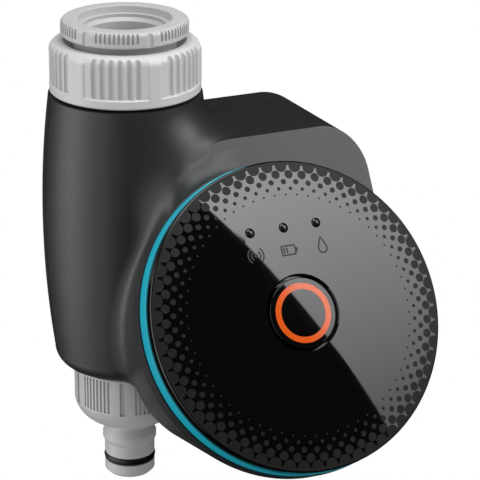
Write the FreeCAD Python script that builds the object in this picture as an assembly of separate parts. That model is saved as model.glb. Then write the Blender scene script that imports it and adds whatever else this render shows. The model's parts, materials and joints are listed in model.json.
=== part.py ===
import FreeCAD, Part
import math
import os
from FreeCAD import Placement, Rotation, Vector

# Smart irrigation controller that hangs on a garden tap.
# Millimetres, +Z up, front towards -Y. The water runs down the Z axis.
# Heights here count from the top ring of the tap adapter. The finished pieces
# are lifted so that the origin is at the mouth of its threaded bore.

# Pieces that move past each other
RUNNING_GAP = 0.1
MOVING_GAP = 0.4

# Inlet adapter, union nut and valve inlet stub
ADAPTER_R = 20.5
ADAPTER_FLANGE_H = 5.1
ADAPTER_EDGE_ROUND = 1.6
INLET_THREAD_R = 12.06
INLET_THREAD_L = 8.6
INLET_LEAD_R = 15.0
INLET_LEAD_H = 2.4
INLET_STEP_R = 13.2
INLET_STEP_H = 2.2
INLET_RUNOUT_H = 2.4
INLET_RUNOUT_DEPTH = 0.5
ADAPTER_SEAT_H = 1.4
WASHER_H = 2.0
WATERWAY_R = 9.0
NUT_THREAD_R = 16.6
NUT_R = 24.4
NUT_GAP = 2.0
NUT_H = 16.5
NUT_RIM_H = 2.8
NUT_LIP_H = 2.2
NUT_SHOULDER_W = 4.7
NUT_SHOULDER_ROUND = 2.6
NUT_MOUTH_H = 3.0
RIDGE_DROP = 0.4
FLUTE_COUNT = 6
FLUTE_PITCH = 6.7
FLUTE_R = 1.05
FLUTE_DEPTH = 1.0
STUB_R = 13.9
CLIP_H = 1.2
CLIP_R = 15.8
CLIP_GROOVE_DEPTH = 1.0
CLIP_DROP = 1.0
GRIP_COUNT = 6
GRIP_PHASE = -90.0
LUG_W = 5.2
LUG_ROUND = 1.2
NOTCH_R = 1.2
KNURL_COUNT = 10
KNURL_PITCH = 4.1
KNURL_RIM = 1.6
KNURL_W = 0.75
KNURL_DEPTH = 0.6

# Filter basket in the inlet stub
FILTER_RIM_R = 11.5
FILTER_RIM_H = 1.0
FILTER_R = 8.6
FILTER_L = 15.0
FILTER_WALL = 0.9
FILTER_SLOTS = 8

# Ball valve on the Z axis
BALL_R = 13.0
BALL_Z = -84.0
PORT_R = 7.5
CHAMBER_WALL = 3.0
TUBE_R = 13.9
SEAT_OUT = 5.5
SEAT_IN = 13.5
STEM_R = 4.0
STEM_BOSS_R = 8.0
STEM_BOSS_X = 22.4
TONGUE_T = 3.0
TONGUE_W = 8.0
TONGUE_L = 2.7
TAIL_PLUG_L = 8.0
TAIL_FLANGE_H = 3.0
OUTLET_THREAD_R = 13.1
OUTLET_THREAD_L = 11.4

# Outlet connector with its push-fit spigot
CONNECTOR_R = 18.4
CONNECTOR_H = 13.2
CONNECTOR_GAP = 0.6
DOME_H = 8.0
NECK_R = 7.6
RIDGE_R = 9.1
SPIGOT_R = 8.5
SPIGOT_BORE_R = 4.8
SPIGOT_L = 20.2
SPIGOT_RING_R = 1.35
SPIGOT_RING_Z = 6.0
SPIGOT_RING_PROUD = 0.25

# Housing: a round column on the pipe and a rounded drum beside it
WALL = 2.3
COLUMN_TOP_R = 24.9
COLUMN_BELLY_R = 27.65
COLUMN_FOOT_R = 24.6
COLUMN_TOP_GAP = 0.9
COLUMN_H = 93.5
COLUMN_FOOT_ROUND = 6.0
DRUM_LEFT = 2.0
DRUM_RIGHT = 70.2
DRUM_TOP = -35.7
DRUM_BOTTOM = -140.0
DRUM_FRONT = -45.0
DRUM_BACK = 26.0
DRUM_TOP_ROUND = 14.0
DRUM_SIDE_ROUND = 21.0
DRUM_BACK_ROUND = 14.0
SEAM_Y = 2.0
SEAM_GROOVE_W = 0.4
SEAM_GROOVE_D = 0.5
RECESS_SIDE = 21.0
RECESS_FRONT = -24.0

# Tilted front panel and the round control unit on it
PANEL_TILT = 30.0
PANEL_X = 30.0
PANEL_Y = -57.5
PANEL_Z = -87.2
DISH_R = 50.0
DISH_LIP = 0.9
DISH_RIM_H = 4.4
DISH_DEPTH = 6.0
DISH_FLARE_L = 54.5
DISH_FLARE_R = 35.2
DECK_T = 2.0
DISH_WALL = 2.4

# Control unit
PLUG_GAP = 0.4
BASE_FLOOR = 1.8
BASE_FLOOR_Z = -4.0
BASE_SKIRT_T = 2.0
TRIM_SET = 0.5
TRIM_W = 4.1
TRIM_Z = 1.0
TRIM_H = 4.8
COVER_SET = 0.4
COVER_T = 2.0
COVER_SIDE_H = 3.5
DOME_RISE = 3.7
BUTTON_HOLE_R = 12.0
BUTTON_R = 11.2
BUTTON_T = 1.6
BUTTON_FLANGE_R = 13.4
BUTTON_TRAVEL = 0.8
BUTTON_RING_R = 9.4
BUTTON_RING_W = 1.9
LED_R = 1.6
LED_PITCH = 11.5
LED_Y = 27.3
LED_PROUD = 0.7
BOARD_GAP = 1.4
BOARD_T = 1.6
BOARD_Z = 3.2
CHIP_W = 10.0
CHIP_T = 1.0
CAPACITOR_R = 2.5
CAPACITOR_H = 2.6
RADIO_W = 14.0
RADIO_T = 0.6
RADIO_CAN_H = 1.8
SWITCH_W = 6.0
SWITCH_H = 3.5
PLUNGER_R = 1.75
PLUNGER_H = 0.5
BUTTON_WIRE_R = 0.3
BUTTON_SPRING_TURNS = 3.5
POST_R = 3.0
POST_INSET = 6.0
POST_COUNT = 4
BASE_SEAL_R = 0.65
BASE_SEAL_Z = -1.4

# Battery tray under the control unit: three AA cells
CELL_R = 7.1
CELL_L = 48.5
CELL_NUB_R = 2.7
CELL_NUB_L = 1.0
CELL_PITCH = 14.6
CELL_COUNT = 3
TRAY_WALL = 1.2
TRAY_FLANGE = 3.0
TRAY_FLANGE_T = 1.5
TRAY_GAP = 0.2
CONTACT_T = 0.5
CELL_SPRING_L = 5.0
CELL_SPRING_R = 4.2
CELL_SPRING_TURNS = 2.5
CELL_WIRE_R = 0.35

# Gear train from the motor to the valve stem
MODULE = 0.8
PINION_TEETH = 10
WHEEL_TEETH = 30
OUTPUT_TEETH = 36
GEAR_T = 3.5
GEAR_STEP = 1.0
GEARBOX_T = 2.0
AXLE_R = 1.5
AXLE_GAP = 0.05
MOTOR_R = 7.7
MOTOR_FLAT = 5.8
MOTOR_L = 18.0
MOTOR_SHAFT_R = 1.0
LOW_WHEEL_Y = -5.0
HIGH_WHEEL_DY = 8.0
MOTOR_DY = 12.5
PILLAR_R = 2.5

# Fasteners
HOUSING_SCREW_R = 1.5
HOUSING_HEAD_R = 2.8
HOUSING_HEAD_H = 2.0
HOUSING_SCREW_L = 14.0
HOUSING_BOSS_R = 3.5
BOSS_BITE = 1.0
SMALL_SCREW_R = 1.2
SMALL_HEAD_R = 2.2
SMALL_HEAD_H = 1.0

# Heights down the pipe that follow from the sizes above
THREAD_END = -(INLET_LEAD_H + INLET_STEP_H + INLET_THREAD_L)
TAP_SEAT = THREAD_END - INLET_RUNOUT_H
ADAPTER_BOTTOM = TAP_SEAT - ADAPTER_SEAT_H
STUB_TOP = ADAPTER_BOTTOM - WASHER_H
NUT_TOP = -ADAPTER_FLANGE_H - NUT_GAP
NUT_BOTTOM = NUT_TOP - NUT_H
COLUMN_TOP = NUT_BOTTOM - COLUMN_TOP_GAP
COLUMN_FOOT = COLUMN_TOP - COLUMN_H
CHAMBER_R = BALL_R + MOVING_GAP
CHAMBER_TOP = BALL_Z + SEAT_IN
TAIL_TOP = BALL_Z - SEAT_IN
CONNECTOR_TOP = COLUMN_FOOT - CONNECTOR_GAP
OUTLET_END = CONNECTOR_TOP - OUTLET_THREAD_L
SPIGOT_TOP = CONNECTOR_TOP - CONNECTOR_H - DOME_H
SPIGOT_END = SPIGOT_TOP - SPIGOT_L

os.makedirs("parts", exist_ok=True)
nodes = {}


def tube(outer, inner, low, high):
    """Ring about Z between two heights."""
    solid = Part.makeCylinder(outer, high - low, Vector(0, 0, low))
    if inner > 0:
        solid = solid.cut(Part.makeCylinder(inner, high - low, Vector(0, 0, low)))
    return solid


def rod(radius, low, high, x=0.0, y=0.0):
    """Cylinder parallel to Z."""
    return Part.makeCylinder(radius, high - low, Vector(x, y, low))


def rod_x(radius, low, high, y, z):
    """Cylinder parallel to X."""
    return Part.makeCylinder(radius, high - low, Vector(low, y, z), Vector(1, 0, 0))


def rod_y(radius, low, high, x, z):
    """Cylinder parallel to Y."""
    return Part.makeCylinder(radius, high - low, Vector(x, low, z), Vector(0, 1, 0))


def box(x0, x1, y0, y1, z0, z1):
    return Part.makeBox(x1 - x0, y1 - y0, z1 - z0, Vector(x0, y0, z0))


def turned(points):
    """Solid of revolution about Z from (radius, height) points."""
    outline = [Vector(r, 0, z) for r, z in points]
    face = Part.Face(Part.makePolygon(outline + outline[:1]))
    return face.revolve(Vector(0, 0, 0), Vector(0, 0, 1), 360)


def around(shape, angle):
    """Copy turned about Z."""
    copy = shape.copy()
    copy.rotate(Vector(0, 0, 0), Vector(0, 0, 1), angle)
    return copy


def circles_at(shape, radius, height):
    """Edges of a shape that run round Z at this radius and height."""
    near = []
    for e in shape.Edges:
        b = e.BoundBox
        if abs(b.ZMin - height) < 0.01 and abs(b.ZMax - height) < 0.01 and abs(b.XMax - radius) < 0.01:
            near.append(e)
    return near


def coil(radius, wire_r, turns, length):
    """Round wire wound up the Z axis from height 0, on two arcs to each quarter turn."""
    rise = length / turns
    slant = rise / (2 * math.pi * radius)
    stretch = math.hypot(1, slant)

    def place(k):
        angle = k * math.pi / 2
        at = Vector(radius * math.cos(angle), radius * math.sin(angle), rise * k / 4)
        along = Vector(-math.sin(angle), math.cos(angle), slant) / stretch
        return at, along

    edges = []
    for k in range(round(4 * turns)):
        (start, leave), (end, arrive) = place(k), place(k + 1)
        gap = end - start
        turn = leave + arrive
        a = 2 * (leave.dot(arrive) - 1)
        b = -2 * gap.dot(turn)
        reach = (-b - math.sqrt(b * b - 4 * a * gap.dot(gap))) / (2 * a)
        if reach < 0:
            reach = (-b + math.sqrt(b * b - 4 * a * gap.dot(gap))) / (2 * a)
        first, second = start + leave * reach, end - arrive * reach
        joint = (first + second) / 2
        for low, corner, high in ((start, first, joint), (joint, second, end)):
            middle = (low + high) / 2
            half = (high - low).Length / 2
            out = corner - middle
            bulge = half * (reach - half) / out.Length
            edges.append(Part.Arc(low, middle + out / out.Length * bulge, high).toShape())
    start, leave = place(0)
    ring = Part.Wire(Part.makeCircle(wire_r, start, leave))
    return Part.Wire(edges).makePipeShell([ring], True, False)


def on_panel(shape):
    """Move a shape from the panel's own frame, Z out of the panel, to the row frame."""
    copy = shape.copy()
    copy.Placement = PANEL.multiply(copy.Placement)
    return copy


PANEL = Placement(
    Vector(PANEL_X, PANEL_Y, PANEL_Z),
    Rotation(Vector(1, 0, 0), 90 - PANEL_TILT),
)


def node(name, shape):
    nodes[name] = shape


# Inlet adapter, union nut, washers, clip and filter


def grip_angles():
    return [GRIP_PHASE + 360.0 / GRIP_COUNT * k for k in range(GRIP_COUNT)]


def tap_adapter():
    thread_r = NUT_THREAD_R - RUNNING_GAP
    runout_r = INLET_THREAD_R + INLET_RUNOUT_DEPTH
    lead = -INLET_LEAD_H
    step = lead - INLET_STEP_H
    body = turned([
        (WATERWAY_R, TAP_SEAT), (runout_r, TAP_SEAT), (runout_r, THREAD_END),
        (INLET_THREAD_R, THREAD_END), (INLET_THREAD_R, step),
        (INLET_STEP_R, step + INLET_STEP_R - INLET_THREAD_R), (INLET_STEP_R, lead), (INLET_LEAD_R, lead),
        (INLET_LEAD_R, 0), (ADAPTER_R, 0), (ADAPTER_R, 0.5 - ADAPTER_FLANGE_H),
        (ADAPTER_R - 0.5, -ADAPTER_FLANGE_H), (thread_r, -ADAPTER_FLANGE_H),
        (thread_r, ADAPTER_BOTTOM + 0.8), (thread_r - 0.8, ADAPTER_BOTTOM), (WATERWAY_R, ADAPTER_BOTTOM),
    ])
    body = body.makeFillet(ADAPTER_EDGE_ROUND, circles_at(body, ADAPTER_R, 0))
    body = body.makeFillet(0.4, circles_at(body, INLET_LEAD_R, 0))
    cuts = []
    knurl = box(ADAPTER_R - KNURL_DEPTH, ADAPTER_R + 1, -KNURL_W / 2, KNURL_W / 2,
                KNURL_RIM - ADAPTER_FLANGE_H, 0)
    notch = rod(NOTCH_R, -ADAPTER_FLANGE_H - 1, 0, ADAPTER_R + NOTCH_R / 2)
    for angle in grip_angles():
        cuts.append(around(notch, angle))
        middle = angle + 180.0 / GRIP_COUNT
        for k in range(KNURL_COUNT):
            cuts.append(around(knurl, middle + KNURL_PITCH * (k - (KNURL_COUNT - 1) / 2)))
    return body.cut(cuts)


def tap_washer():
    return tube(INLET_THREAD_R + INLET_RUNOUT_DEPTH, WATERWAY_R, TAP_SEAT, TAP_SEAT + WASHER_H)


def union_nut():
    """Grip nut: six lugs that stand proud of a ring of concave flutes."""
    ridge_r = NUT_R - RIDGE_DROP
    mouth_r = NUT_R - NUT_SHOULDER_W
    rim_top = NUT_BOTTOM + NUT_RIM_H
    lip_top = NUT_BOTTOM + NUT_LIP_H
    lip_r = STUB_R + 0.3
    body = turned([
        (lip_r, NUT_BOTTOM), (NUT_R - 0.5, NUT_BOTTOM), (NUT_R, NUT_BOTTOM + 0.5),
        (NUT_R, rim_top), (ridge_r, rim_top + RIDGE_DROP), (ridge_r, NUT_TOP), (mouth_r, NUT_TOP),
        (NUT_THREAD_R, NUT_TOP - NUT_MOUTH_H), (NUT_THREAD_R, lip_top), (lip_r, lip_top),
    ])
    body = body.makeFillet(NUT_SHOULDER_ROUND, circles_at(body, ridge_r, NUT_TOP))
    flute = rod(FLUTE_R, rim_top + RIDGE_DROP, NUT_TOP, ridge_r + FLUTE_R - FLUTE_DEPTH)
    lug = box(mouth_r + 1, NUT_R, -LUG_W / 2, LUG_W / 2, rim_top, NUT_TOP - RIDGE_DROP)
    top_edges = [e for e in lug.Edges if e.BoundBox.ZMin > NUT_TOP - 0.5 and e.BoundBox.XMin > NUT_R - 0.01]
    lug = lug.makeFillet(NUT_SHOULDER_ROUND, top_edges)
    upright = [e for e in lug.Edges if e.Length > NUT_H / 2 and e.BoundBox.XMin > NUT_R - 0.01]
    lug = lug.makeFillet(LUG_ROUND, upright)
    flutes = []
    lugs = []
    for angle in grip_angles():
        lugs.append(around(lug, angle))
        middle = angle + 180.0 / GRIP_COUNT
        for k in range(FLUTE_COUNT):
            flutes.append(around(flute, middle + FLUTE_PITCH * (k - (FLUTE_COUNT - 1) / 2)))
    return body.cut(flutes).fuse(lugs).removeSplitter()


def nut_clip():
    top = STUB_TOP - CLIP_DROP
    inner = STUB_R - CLIP_GROOVE_DEPTH
    ring = tube(CLIP_R, inner, top - CLIP_H, top)
    return ring.cut(box(0, CLIP_R + 1, -1.5, 1.5, top - CLIP_H, top))


def inlet_filter():
    rim_low = STUB_TOP - FILTER_RIM_H
    low = STUB_TOP - FILTER_L
    basket = tube(FILTER_R, FILTER_R - FILTER_WALL, low, STUB_TOP)
    basket = basket.fuse(tube(FILTER_RIM_R, FILTER_R - FILTER_WALL, rim_low, STUB_TOP))
    basket = basket.fuse(rod(FILTER_R, low, low + FILTER_WALL))
    slot = box(FILTER_R - 2 * FILTER_WALL, FILTER_R + 1, -1.6, 1.6, low + 2.5, rim_low - 2.0)
    slots = [around(slot, 360.0 / FILTER_SLOTS * k) for k in range(FILTER_SLOTS)]
    return basket.cut(slots)


# Ball valve


def valve_body():
    chamber_r = CHAMBER_R + CHAMBER_WALL
    chamber_bottom = TAIL_TOP - TAIL_PLUG_L
    plug_r = CHAMBER_R + 1.0
    shoulder = CHAMBER_TOP + 2.5
    groove_r = STUB_R - CLIP_GROOVE_DEPTH
    clip_top = STUB_TOP - CLIP_DROP
    clip_low = clip_top - CLIP_H
    filter_r = FILTER_RIM_R + 0.1
    basket_r = FILTER_R + 0.5
    basket_low = STUB_TOP - FILTER_L - 2.0
    body = turned([
        (filter_r, STUB_TOP), (STUB_R, STUB_TOP), (STUB_R, clip_top), (groove_r, clip_top),
        (groove_r, clip_low), (STUB_R, clip_low), (TUBE_R, COLUMN_TOP - WALL),
        (TUBE_R, shoulder + 3.0), (chamber_r, shoulder), (chamber_r, chamber_bottom),
        (plug_r, chamber_bottom), (plug_r, TAIL_TOP), (CHAMBER_R, TAIL_TOP),
        (CHAMBER_R, CHAMBER_TOP), (PORT_R, CHAMBER_TOP), (PORT_R, basket_low),
        (basket_r, basket_low), (basket_r, STUB_TOP - FILTER_RIM_H),
        (filter_r, STUB_TOP - FILTER_RIM_H),
    ])
    boss = rod_x(STEM_BOSS_R, CHAMBER_R + 1.5, STEM_BOSS_X, 0, BALL_Z)
    pads = [rod_x(PILLAR_R + 1, CHAMBER_R + 1.5, STEM_BOSS_X, 0, z) for z in pad_heights()]
    body = body.fuse([boss] + pads)
    holes = [rod_x(SMALL_SCREW_R, STEM_BOSS_X - 6, STEM_BOSS_X, 0, z) for z in pad_heights()]
    holes.append(rod_x(STEM_R + AXLE_GAP, 0, STEM_BOSS_X, 0, BALL_Z))
    return body.cut(holes)


def pad_heights():
    reach = STEM_BOSS_R + PILLAR_R + 2.5
    return (BALL_Z + reach, BALL_Z - reach)


def valve_tail():
    plug_r = CHAMBER_R + 1.0
    plug_low = TAIL_TOP - TAIL_PLUG_L
    flange_r = CHAMBER_R + CHAMBER_WALL
    flange_low = plug_low - TAIL_FLANGE_H
    floor = COLUMN_FOOT + WALL
    shoulder_r = OUTLET_THREAD_R + 3.0
    return turned([
        (PORT_R, TAIL_TOP), (plug_r, TAIL_TOP), (plug_r, plug_low), (flange_r, plug_low),
        (flange_r, flange_low), (OUTLET_THREAD_R, flange_low), (OUTLET_THREAD_R, floor + 3.0),
        (shoulder_r, floor + 3.0), (shoulder_r, floor), (OUTLET_THREAD_R, floor),
        (OUTLET_THREAD_R, OUTLET_END + 0.8), (OUTLET_THREAD_R - 0.8, OUTLET_END),
        (PORT_R, OUTLET_END),
    ])


def seat(side):
    """Ring that holds the ball, above it (side 1) or below it (side -1)."""
    low, high = sorted((BALL_Z + side * SEAT_OUT, BALL_Z + side * SEAT_IN))
    ring = tube(CHAMBER_R, PORT_R, low, high)
    return ring.cut(Part.makeSphere(BALL_R + RUNNING_GAP, Vector(0, 0, BALL_Z)))


def valve_ball():
    ball = Part.makeSphere(BALL_R, Vector(0, 0, BALL_Z))
    port = rod_y(PORT_R, -BALL_R, BALL_R, 0, BALL_Z)
    slot_x = BALL_R - TONGUE_L
    slot = box(slot_x, BALL_R, -BALL_R, BALL_R, BALL_Z - TONGUE_T / 2, BALL_Z + TONGUE_T / 2)
    return ball.cut([port, slot])


def valve_stem():
    start = BALL_R + 0.1
    shaft = rod_x(STEM_R, start, LAYERS[0] + GEAR_T + GEAR_STEP / 2, 0, BALL_Z)
    tongue = box(BALL_R - TONGUE_L, start, -TONGUE_W / 2, TONGUE_W / 2,
                 BALL_Z - TONGUE_T / 2, BALL_Z + TONGUE_T / 2)
    tongue = tongue.common(rod_x(STEM_R, 0, start, 0, BALL_Z))
    groove = rod_x(STEM_R, RING_X - 0.9, RING_X + 0.9, 0, BALL_Z)
    groove = groove.cut(rod_x(STEM_R - 1.2, RING_X - 0.9, RING_X + 0.9, 0, BALL_Z))
    return shaft.fuse(tongue).cut(groove)


def stem_ring():
    return Part.makeTorus(STEM_R - 0.6, 0.6, Vector(RING_X, 0, BALL_Z), Vector(1, 0, 0))


# Gear train. The wheels turn about axles parallel to X, in three layers.

RING_X = STEM_BOSS_X - 4.0
PLATE_X = STEM_BOSS_X
LAYERS = [PLATE_X + GEARBOX_T + 1.6 + k * (GEAR_T + GEAR_STEP) for k in range(3)]
COVER_X = LAYERS[2] + GEAR_T + GEAR_STEP
MESH_OUT = MODULE * (OUTPUT_TEETH + PINION_TEETH) / 2
MESH_WHEEL = MODULE * (WHEEL_TEETH + PINION_TEETH) / 2


def step_up(start, dy, distance, side=1):
    """Centre at a given distance from another, dy further back."""
    return (start[0] + dy, start[1] + side * math.sqrt(distance ** 2 - dy ** 2))


OUTPUT_AT = (0.0, BALL_Z)
LOW_AT = step_up(OUTPUT_AT, LOW_WHEEL_Y, MESH_OUT)
HIGH_AT = step_up(LOW_AT, HIGH_WHEEL_DY, MESH_WHEEL)
MOTOR_AT = step_up(HIGH_AT, MOTOR_DY, MESH_WHEEL, -1)
PILLARS = [
    (-13.0, BALL_Z - 14.0),
    (13.0, BALL_Z - 14.0),
    (HIGH_AT[0] - 16.5, HIGH_AT[1] + 7.0),
    (MOTOR_AT[0] + 2.5, MOTOR_AT[1] - 14.0),
]


def involute(base, angle):
    return (base * (math.cos(angle) + angle * math.sin(angle)),
            base * (math.sin(angle) - angle * math.cos(angle)))


def gear(teeth, thickness, x, at, turn):
    """Spur gear about an axle parallel to X. turn is the angle of tooth 0 from +Y."""
    pitch_r = MODULE * teeth / 2
    tip_r = pitch_r + 0.85 * MODULE
    root_r = pitch_r - 1.15 * MODULE
    base_r = pitch_r * math.cos(math.radians(20))
    backlash = 0.06 * MODULE
    at_pitch = math.sqrt((pitch_r / base_r) ** 2 - 1)
    lean = at_pitch - math.atan(at_pitch)
    half = math.pi / (2 * teeth) - backlash / (2 * pitch_r) + lean
    start_r = max(base_r, root_r)
    flank = []
    for k in range(5):
        radius = start_r + (tip_r - start_r) * k / 4
        roll = math.sqrt(max((radius / base_r) ** 2 - 1, 0))
        px, py = involute(base_r, roll)
        flank.append((math.hypot(px, py), math.atan2(py, px) - half))
    if root_r < start_r:
        flank.insert(0, (root_r, -half))
    tooth = flank + [(r, -a) for r, a in reversed(flank)]
    points = []
    for k in range(teeth):
        middle = math.radians(turn) + 2 * math.pi * k / teeth
        for r, a in tooth:
            points.append(Vector(x, at[0] + r * math.cos(middle + a), at[1] + r * math.sin(middle + a)))
    face = Part.Face(Part.makePolygon(points + points[:1]))
    return face.extrude(Vector(thickness, 0, 0))


def mesh_angle(driver_at, driver_teeth, driver_turn, follower_at, follower_teeth):
    """Turn of the follower's tooth 0 that puts a gap of it opposite the driver's tooth."""
    line = math.degrees(math.atan2(follower_at[1] - driver_at[1], follower_at[0] - driver_at[0]))
    phase = (line - driver_turn) * driver_teeth / 360.0
    follower_phase = 0.5 - phase
    return line + 180.0 - follower_phase * 360.0 / follower_teeth


OUTPUT_TURN = 0.0
LOW_PINION_TURN = mesh_angle(OUTPUT_AT, OUTPUT_TEETH, OUTPUT_TURN, LOW_AT, PINION_TEETH)
LOW_WHEEL_TURN = 0.0
HIGH_PINION_TURN = mesh_angle(LOW_AT, WHEEL_TEETH, LOW_WHEEL_TURN, HIGH_AT, PINION_TEETH)
HIGH_WHEEL_TURN = 0.0
MOTOR_PINION_TURN = mesh_angle(HIGH_AT, WHEEL_TEETH, HIGH_WHEEL_TURN, MOTOR_AT, PINION_TEETH)


def output_gear():
    wheel = gear(OUTPUT_TEETH, GEAR_T, LAYERS[0], OUTPUT_AT, OUTPUT_TURN)
    hub = rod_x(STEM_R + 2.5, LAYERS[0] - 0.6, LAYERS[0] + GEAR_T + GEAR_STEP / 2, *OUTPUT_AT)
    return wheel.fuse(hub).cut(rod_x(STEM_R, LAYERS[0] - 1, COVER_X, *OUTPUT_AT))


def compound_wheel(layer, at, wheel_turn, pinion_turn):
    """Pinion in one layer, joined to a large wheel in the next."""
    pinion = gear(PINION_TEETH, GEAR_T + GEAR_STEP, LAYERS[layer], at, pinion_turn)
    wheel = gear(WHEEL_TEETH, GEAR_T, LAYERS[layer + 1], at, wheel_turn)
    low = PLATE_X + GEARBOX_T + 0.2
    spacer = rod_x(AXLE_R + 1.0, low, COVER_X - 0.2, *at)
    return pinion.fuse([wheel, spacer]).cut(rod_x(AXLE_R + AXLE_GAP, low, COVER_X, *at))


def motor_pinion():
    pinion = gear(PINION_TEETH, GEAR_T, LAYERS[2], MOTOR_AT, MOTOR_PINION_TURN)
    shaft_end = COVER_X + GEARBOX_T + 4.0
    return pinion.fuse(rod_x(MOTOR_SHAFT_R, LAYERS[2] - 1.0, shaft_end, *MOTOR_AT))


def motor():
    start = COVER_X + GEARBOX_T
    can = rod_x(MOTOR_R, start, start + MOTOR_L, *MOTOR_AT)
    slab = box(start - 3, start + MOTOR_L, MOTOR_AT[0] - MOTOR_FLAT, MOTOR_AT[0] + MOTOR_FLAT,
               MOTOR_AT[1] - MOTOR_R, MOTOR_AT[1] + MOTOR_R)
    can = can.common(slab)
    nose = rod_x(3.0, COVER_X + 0.4, start, *MOTOR_AT)
    tail = rod_x(2.2, start + MOTOR_L, start + MOTOR_L + 1.2, *MOTOR_AT)
    bore = rod_x(MOTOR_SHAFT_R + AXLE_GAP, COVER_X, start + 4.0, *MOTOR_AT)
    return can.fuse([nose, tail]).cut(bore)


def gearbox_outline(x):
    low = BALL_Z - 18.0
    top = HIGH_AT[1] + 12.4
    back = MOTOR_AT[0] + 6.0
    points = [(-17.5, low), (17.5, low), (back, low + 6), (back, MOTOR_AT[1] + 7),
              (HIGH_AT[0] + 12.0, top), (HIGH_AT[0] - 17.0, top), (-17.5, top - 4)]
    face = Part.Face(Part.makePolygon([Vector(x, y, z) for y, z in points + points[:1]]))
    return face.extrude(Vector(GEARBOX_T, 0, 0))


def gearbox_plate():
    plate = gearbox_outline(PLATE_X)
    holes = [rod_x(STEM_R + 0.5, PLATE_X, PLATE_X + GEARBOX_T, 0, BALL_Z)]
    holes += [rod_x(AXLE_R, PLATE_X, PLATE_X + GEARBOX_T, *at) for at in (LOW_AT, HIGH_AT)]
    holes += [rod_x(SMALL_SCREW_R, PLATE_X, PLATE_X + GEARBOX_T, *at) for at in PILLARS]
    holes += [rod_x(SMALL_SCREW_R, PLATE_X, PLATE_X + GEARBOX_T, 0, z) for z in pad_heights()]
    return plate.cut(holes)


def gearbox_cover():
    inside = PLATE_X + GEARBOX_T
    cover = gearbox_outline(COVER_X)
    cover = cover.fuse([rod_x(PILLAR_R, inside, COVER_X, *at) for at in PILLARS])
    holes = [rod_x(AXLE_R, COVER_X, COVER_X + GEARBOX_T, *at) for at in (LOW_AT, HIGH_AT)]
    holes += [rod_x(SMALL_SCREW_R, inside, COVER_X + GEARBOX_T, *at) for at in PILLARS]
    holes.append(rod_x(3.0, COVER_X, COVER_X + GEARBOX_T, *MOTOR_AT))
    return cover.cut(holes)


def gear_axles():
    ends = (PLATE_X, COVER_X + GEARBOX_T)
    return Part.makeCompound([rod_x(AXLE_R, *ends, *at) for at in (LOW_AT, HIGH_AT)])


def pan_screw_x(tip, seat, at):
    """Screw parallel to X with its head beyond seat."""
    shank = rod_x(SMALL_SCREW_R, tip, seat, *at)
    return shank.fuse(rod_x(SMALL_HEAD_R, seat, seat + SMALL_HEAD_H, *at))


def gearbox_screws():
    outside = COVER_X + GEARBOX_T
    return Part.makeCompound([pan_screw_x(PLATE_X, outside, at) for at in PILLARS])


def valve_screws():
    inside = PLATE_X + GEARBOX_T
    return Part.makeCompound([pan_screw_x(STEM_BOSS_X - 5, inside, (0, z)) for z in pad_heights()])


# Outlet connector


def outlet_connector():
    top, side = CONNECTOR_TOP, CONNECTOR_TOP - CONNECTOR_H
    thread_r = OUTLET_THREAD_R + RUNNING_GAP
    seat_z = OUTLET_END - 0.4 - WASHER_H
    ring_z = SPIGOT_END + SPIGOT_RING_Z
    groove_r = SPIGOT_R + SPIGOT_RING_PROUD - 2 * SPIGOT_RING_R
    outline = [
        Vector(thread_r + 0.8, 0, top), Vector(CONNECTOR_R - 0.5, 0, top),
        Vector(CONNECTOR_R, 0, top - 0.5), Vector(CONNECTOR_R, 0, side),
    ]
    edges = [Part.makeLine(a, b) for a, b in zip(outline, outline[1:])]
    dome_end = Vector(NECK_R + 1.2, 0, SPIGOT_TOP)
    middle = Vector(CONNECTOR_R - 2.6, 0, side - 0.62 * DOME_H)
    edges.append(Part.Arc(outline[-1], middle, dome_end).toShape())
    lower = [
        dome_end, Vector(NECK_R, 0, SPIGOT_TOP - 1.6), Vector(NECK_R, 0, SPIGOT_TOP - 2.8),
        Vector(SPIGOT_R + 0.1, 0, SPIGOT_TOP - 4.4), Vector(RIDGE_R, 0, SPIGOT_TOP - 5.4),
        Vector(RIDGE_R, 0, SPIGOT_TOP - 7.2), Vector(SPIGOT_R, 0, SPIGOT_TOP - 8.6),
        Vector(SPIGOT_R, 0, ring_z + SPIGOT_RING_R), Vector(groove_r, 0, ring_z + SPIGOT_RING_R),
        Vector(groove_r, 0, ring_z - SPIGOT_RING_R), Vector(SPIGOT_R, 0, ring_z - SPIGOT_RING_R),
        Vector(SPIGOT_R, 0, SPIGOT_END + 1.2), Vector(SPIGOT_R - 1.2, 0, SPIGOT_END),
        Vector(SPIGOT_BORE_R, 0, SPIGOT_END), Vector(SPIGOT_BORE_R, 0, seat_z),
        Vector(thread_r, 0, seat_z), Vector(thread_r, 0, top - 0.8), outline[0],
    ]
    edges += [Part.makeLine(a, b) for a, b in zip(lower, lower[1:])]
    body = Part.Face(Part.Wire(edges)).revolve(Vector(0, 0, 0), Vector(0, 0, 1), 360)
    cuts = []
    knurl = box(CONNECTOR_R - KNURL_DEPTH, CONNECTOR_R + 1, -KNURL_W / 2, KNURL_W / 2, side + 0.6, top - 1.0)
    slot = box(CONNECTOR_R - 0.9, CONNECTOR_R + 1, -0.8, 0.8, side, top - 1.0)
    for angle in grip_angles():
        cuts.append(around(slot, angle - 30.0))
        for k in range(KNURL_COUNT - 2):
            cuts.append(around(knurl, angle + 4.4 * (k - (KNURL_COUNT - 3) / 2)))
    return body.cut(cuts)


def connector_washer():
    low = OUTLET_END - 0.4 - WASHER_H
    return tube(OUTLET_THREAD_R, PORT_R, low, low + WASHER_H)


def spigot_ring():
    major = SPIGOT_R + SPIGOT_RING_PROUD - SPIGOT_RING_R
    return Part.makeTorus(major, SPIGOT_RING_R, Vector(0, 0, SPIGOT_END + SPIGOT_RING_Z))


# Housing


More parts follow.
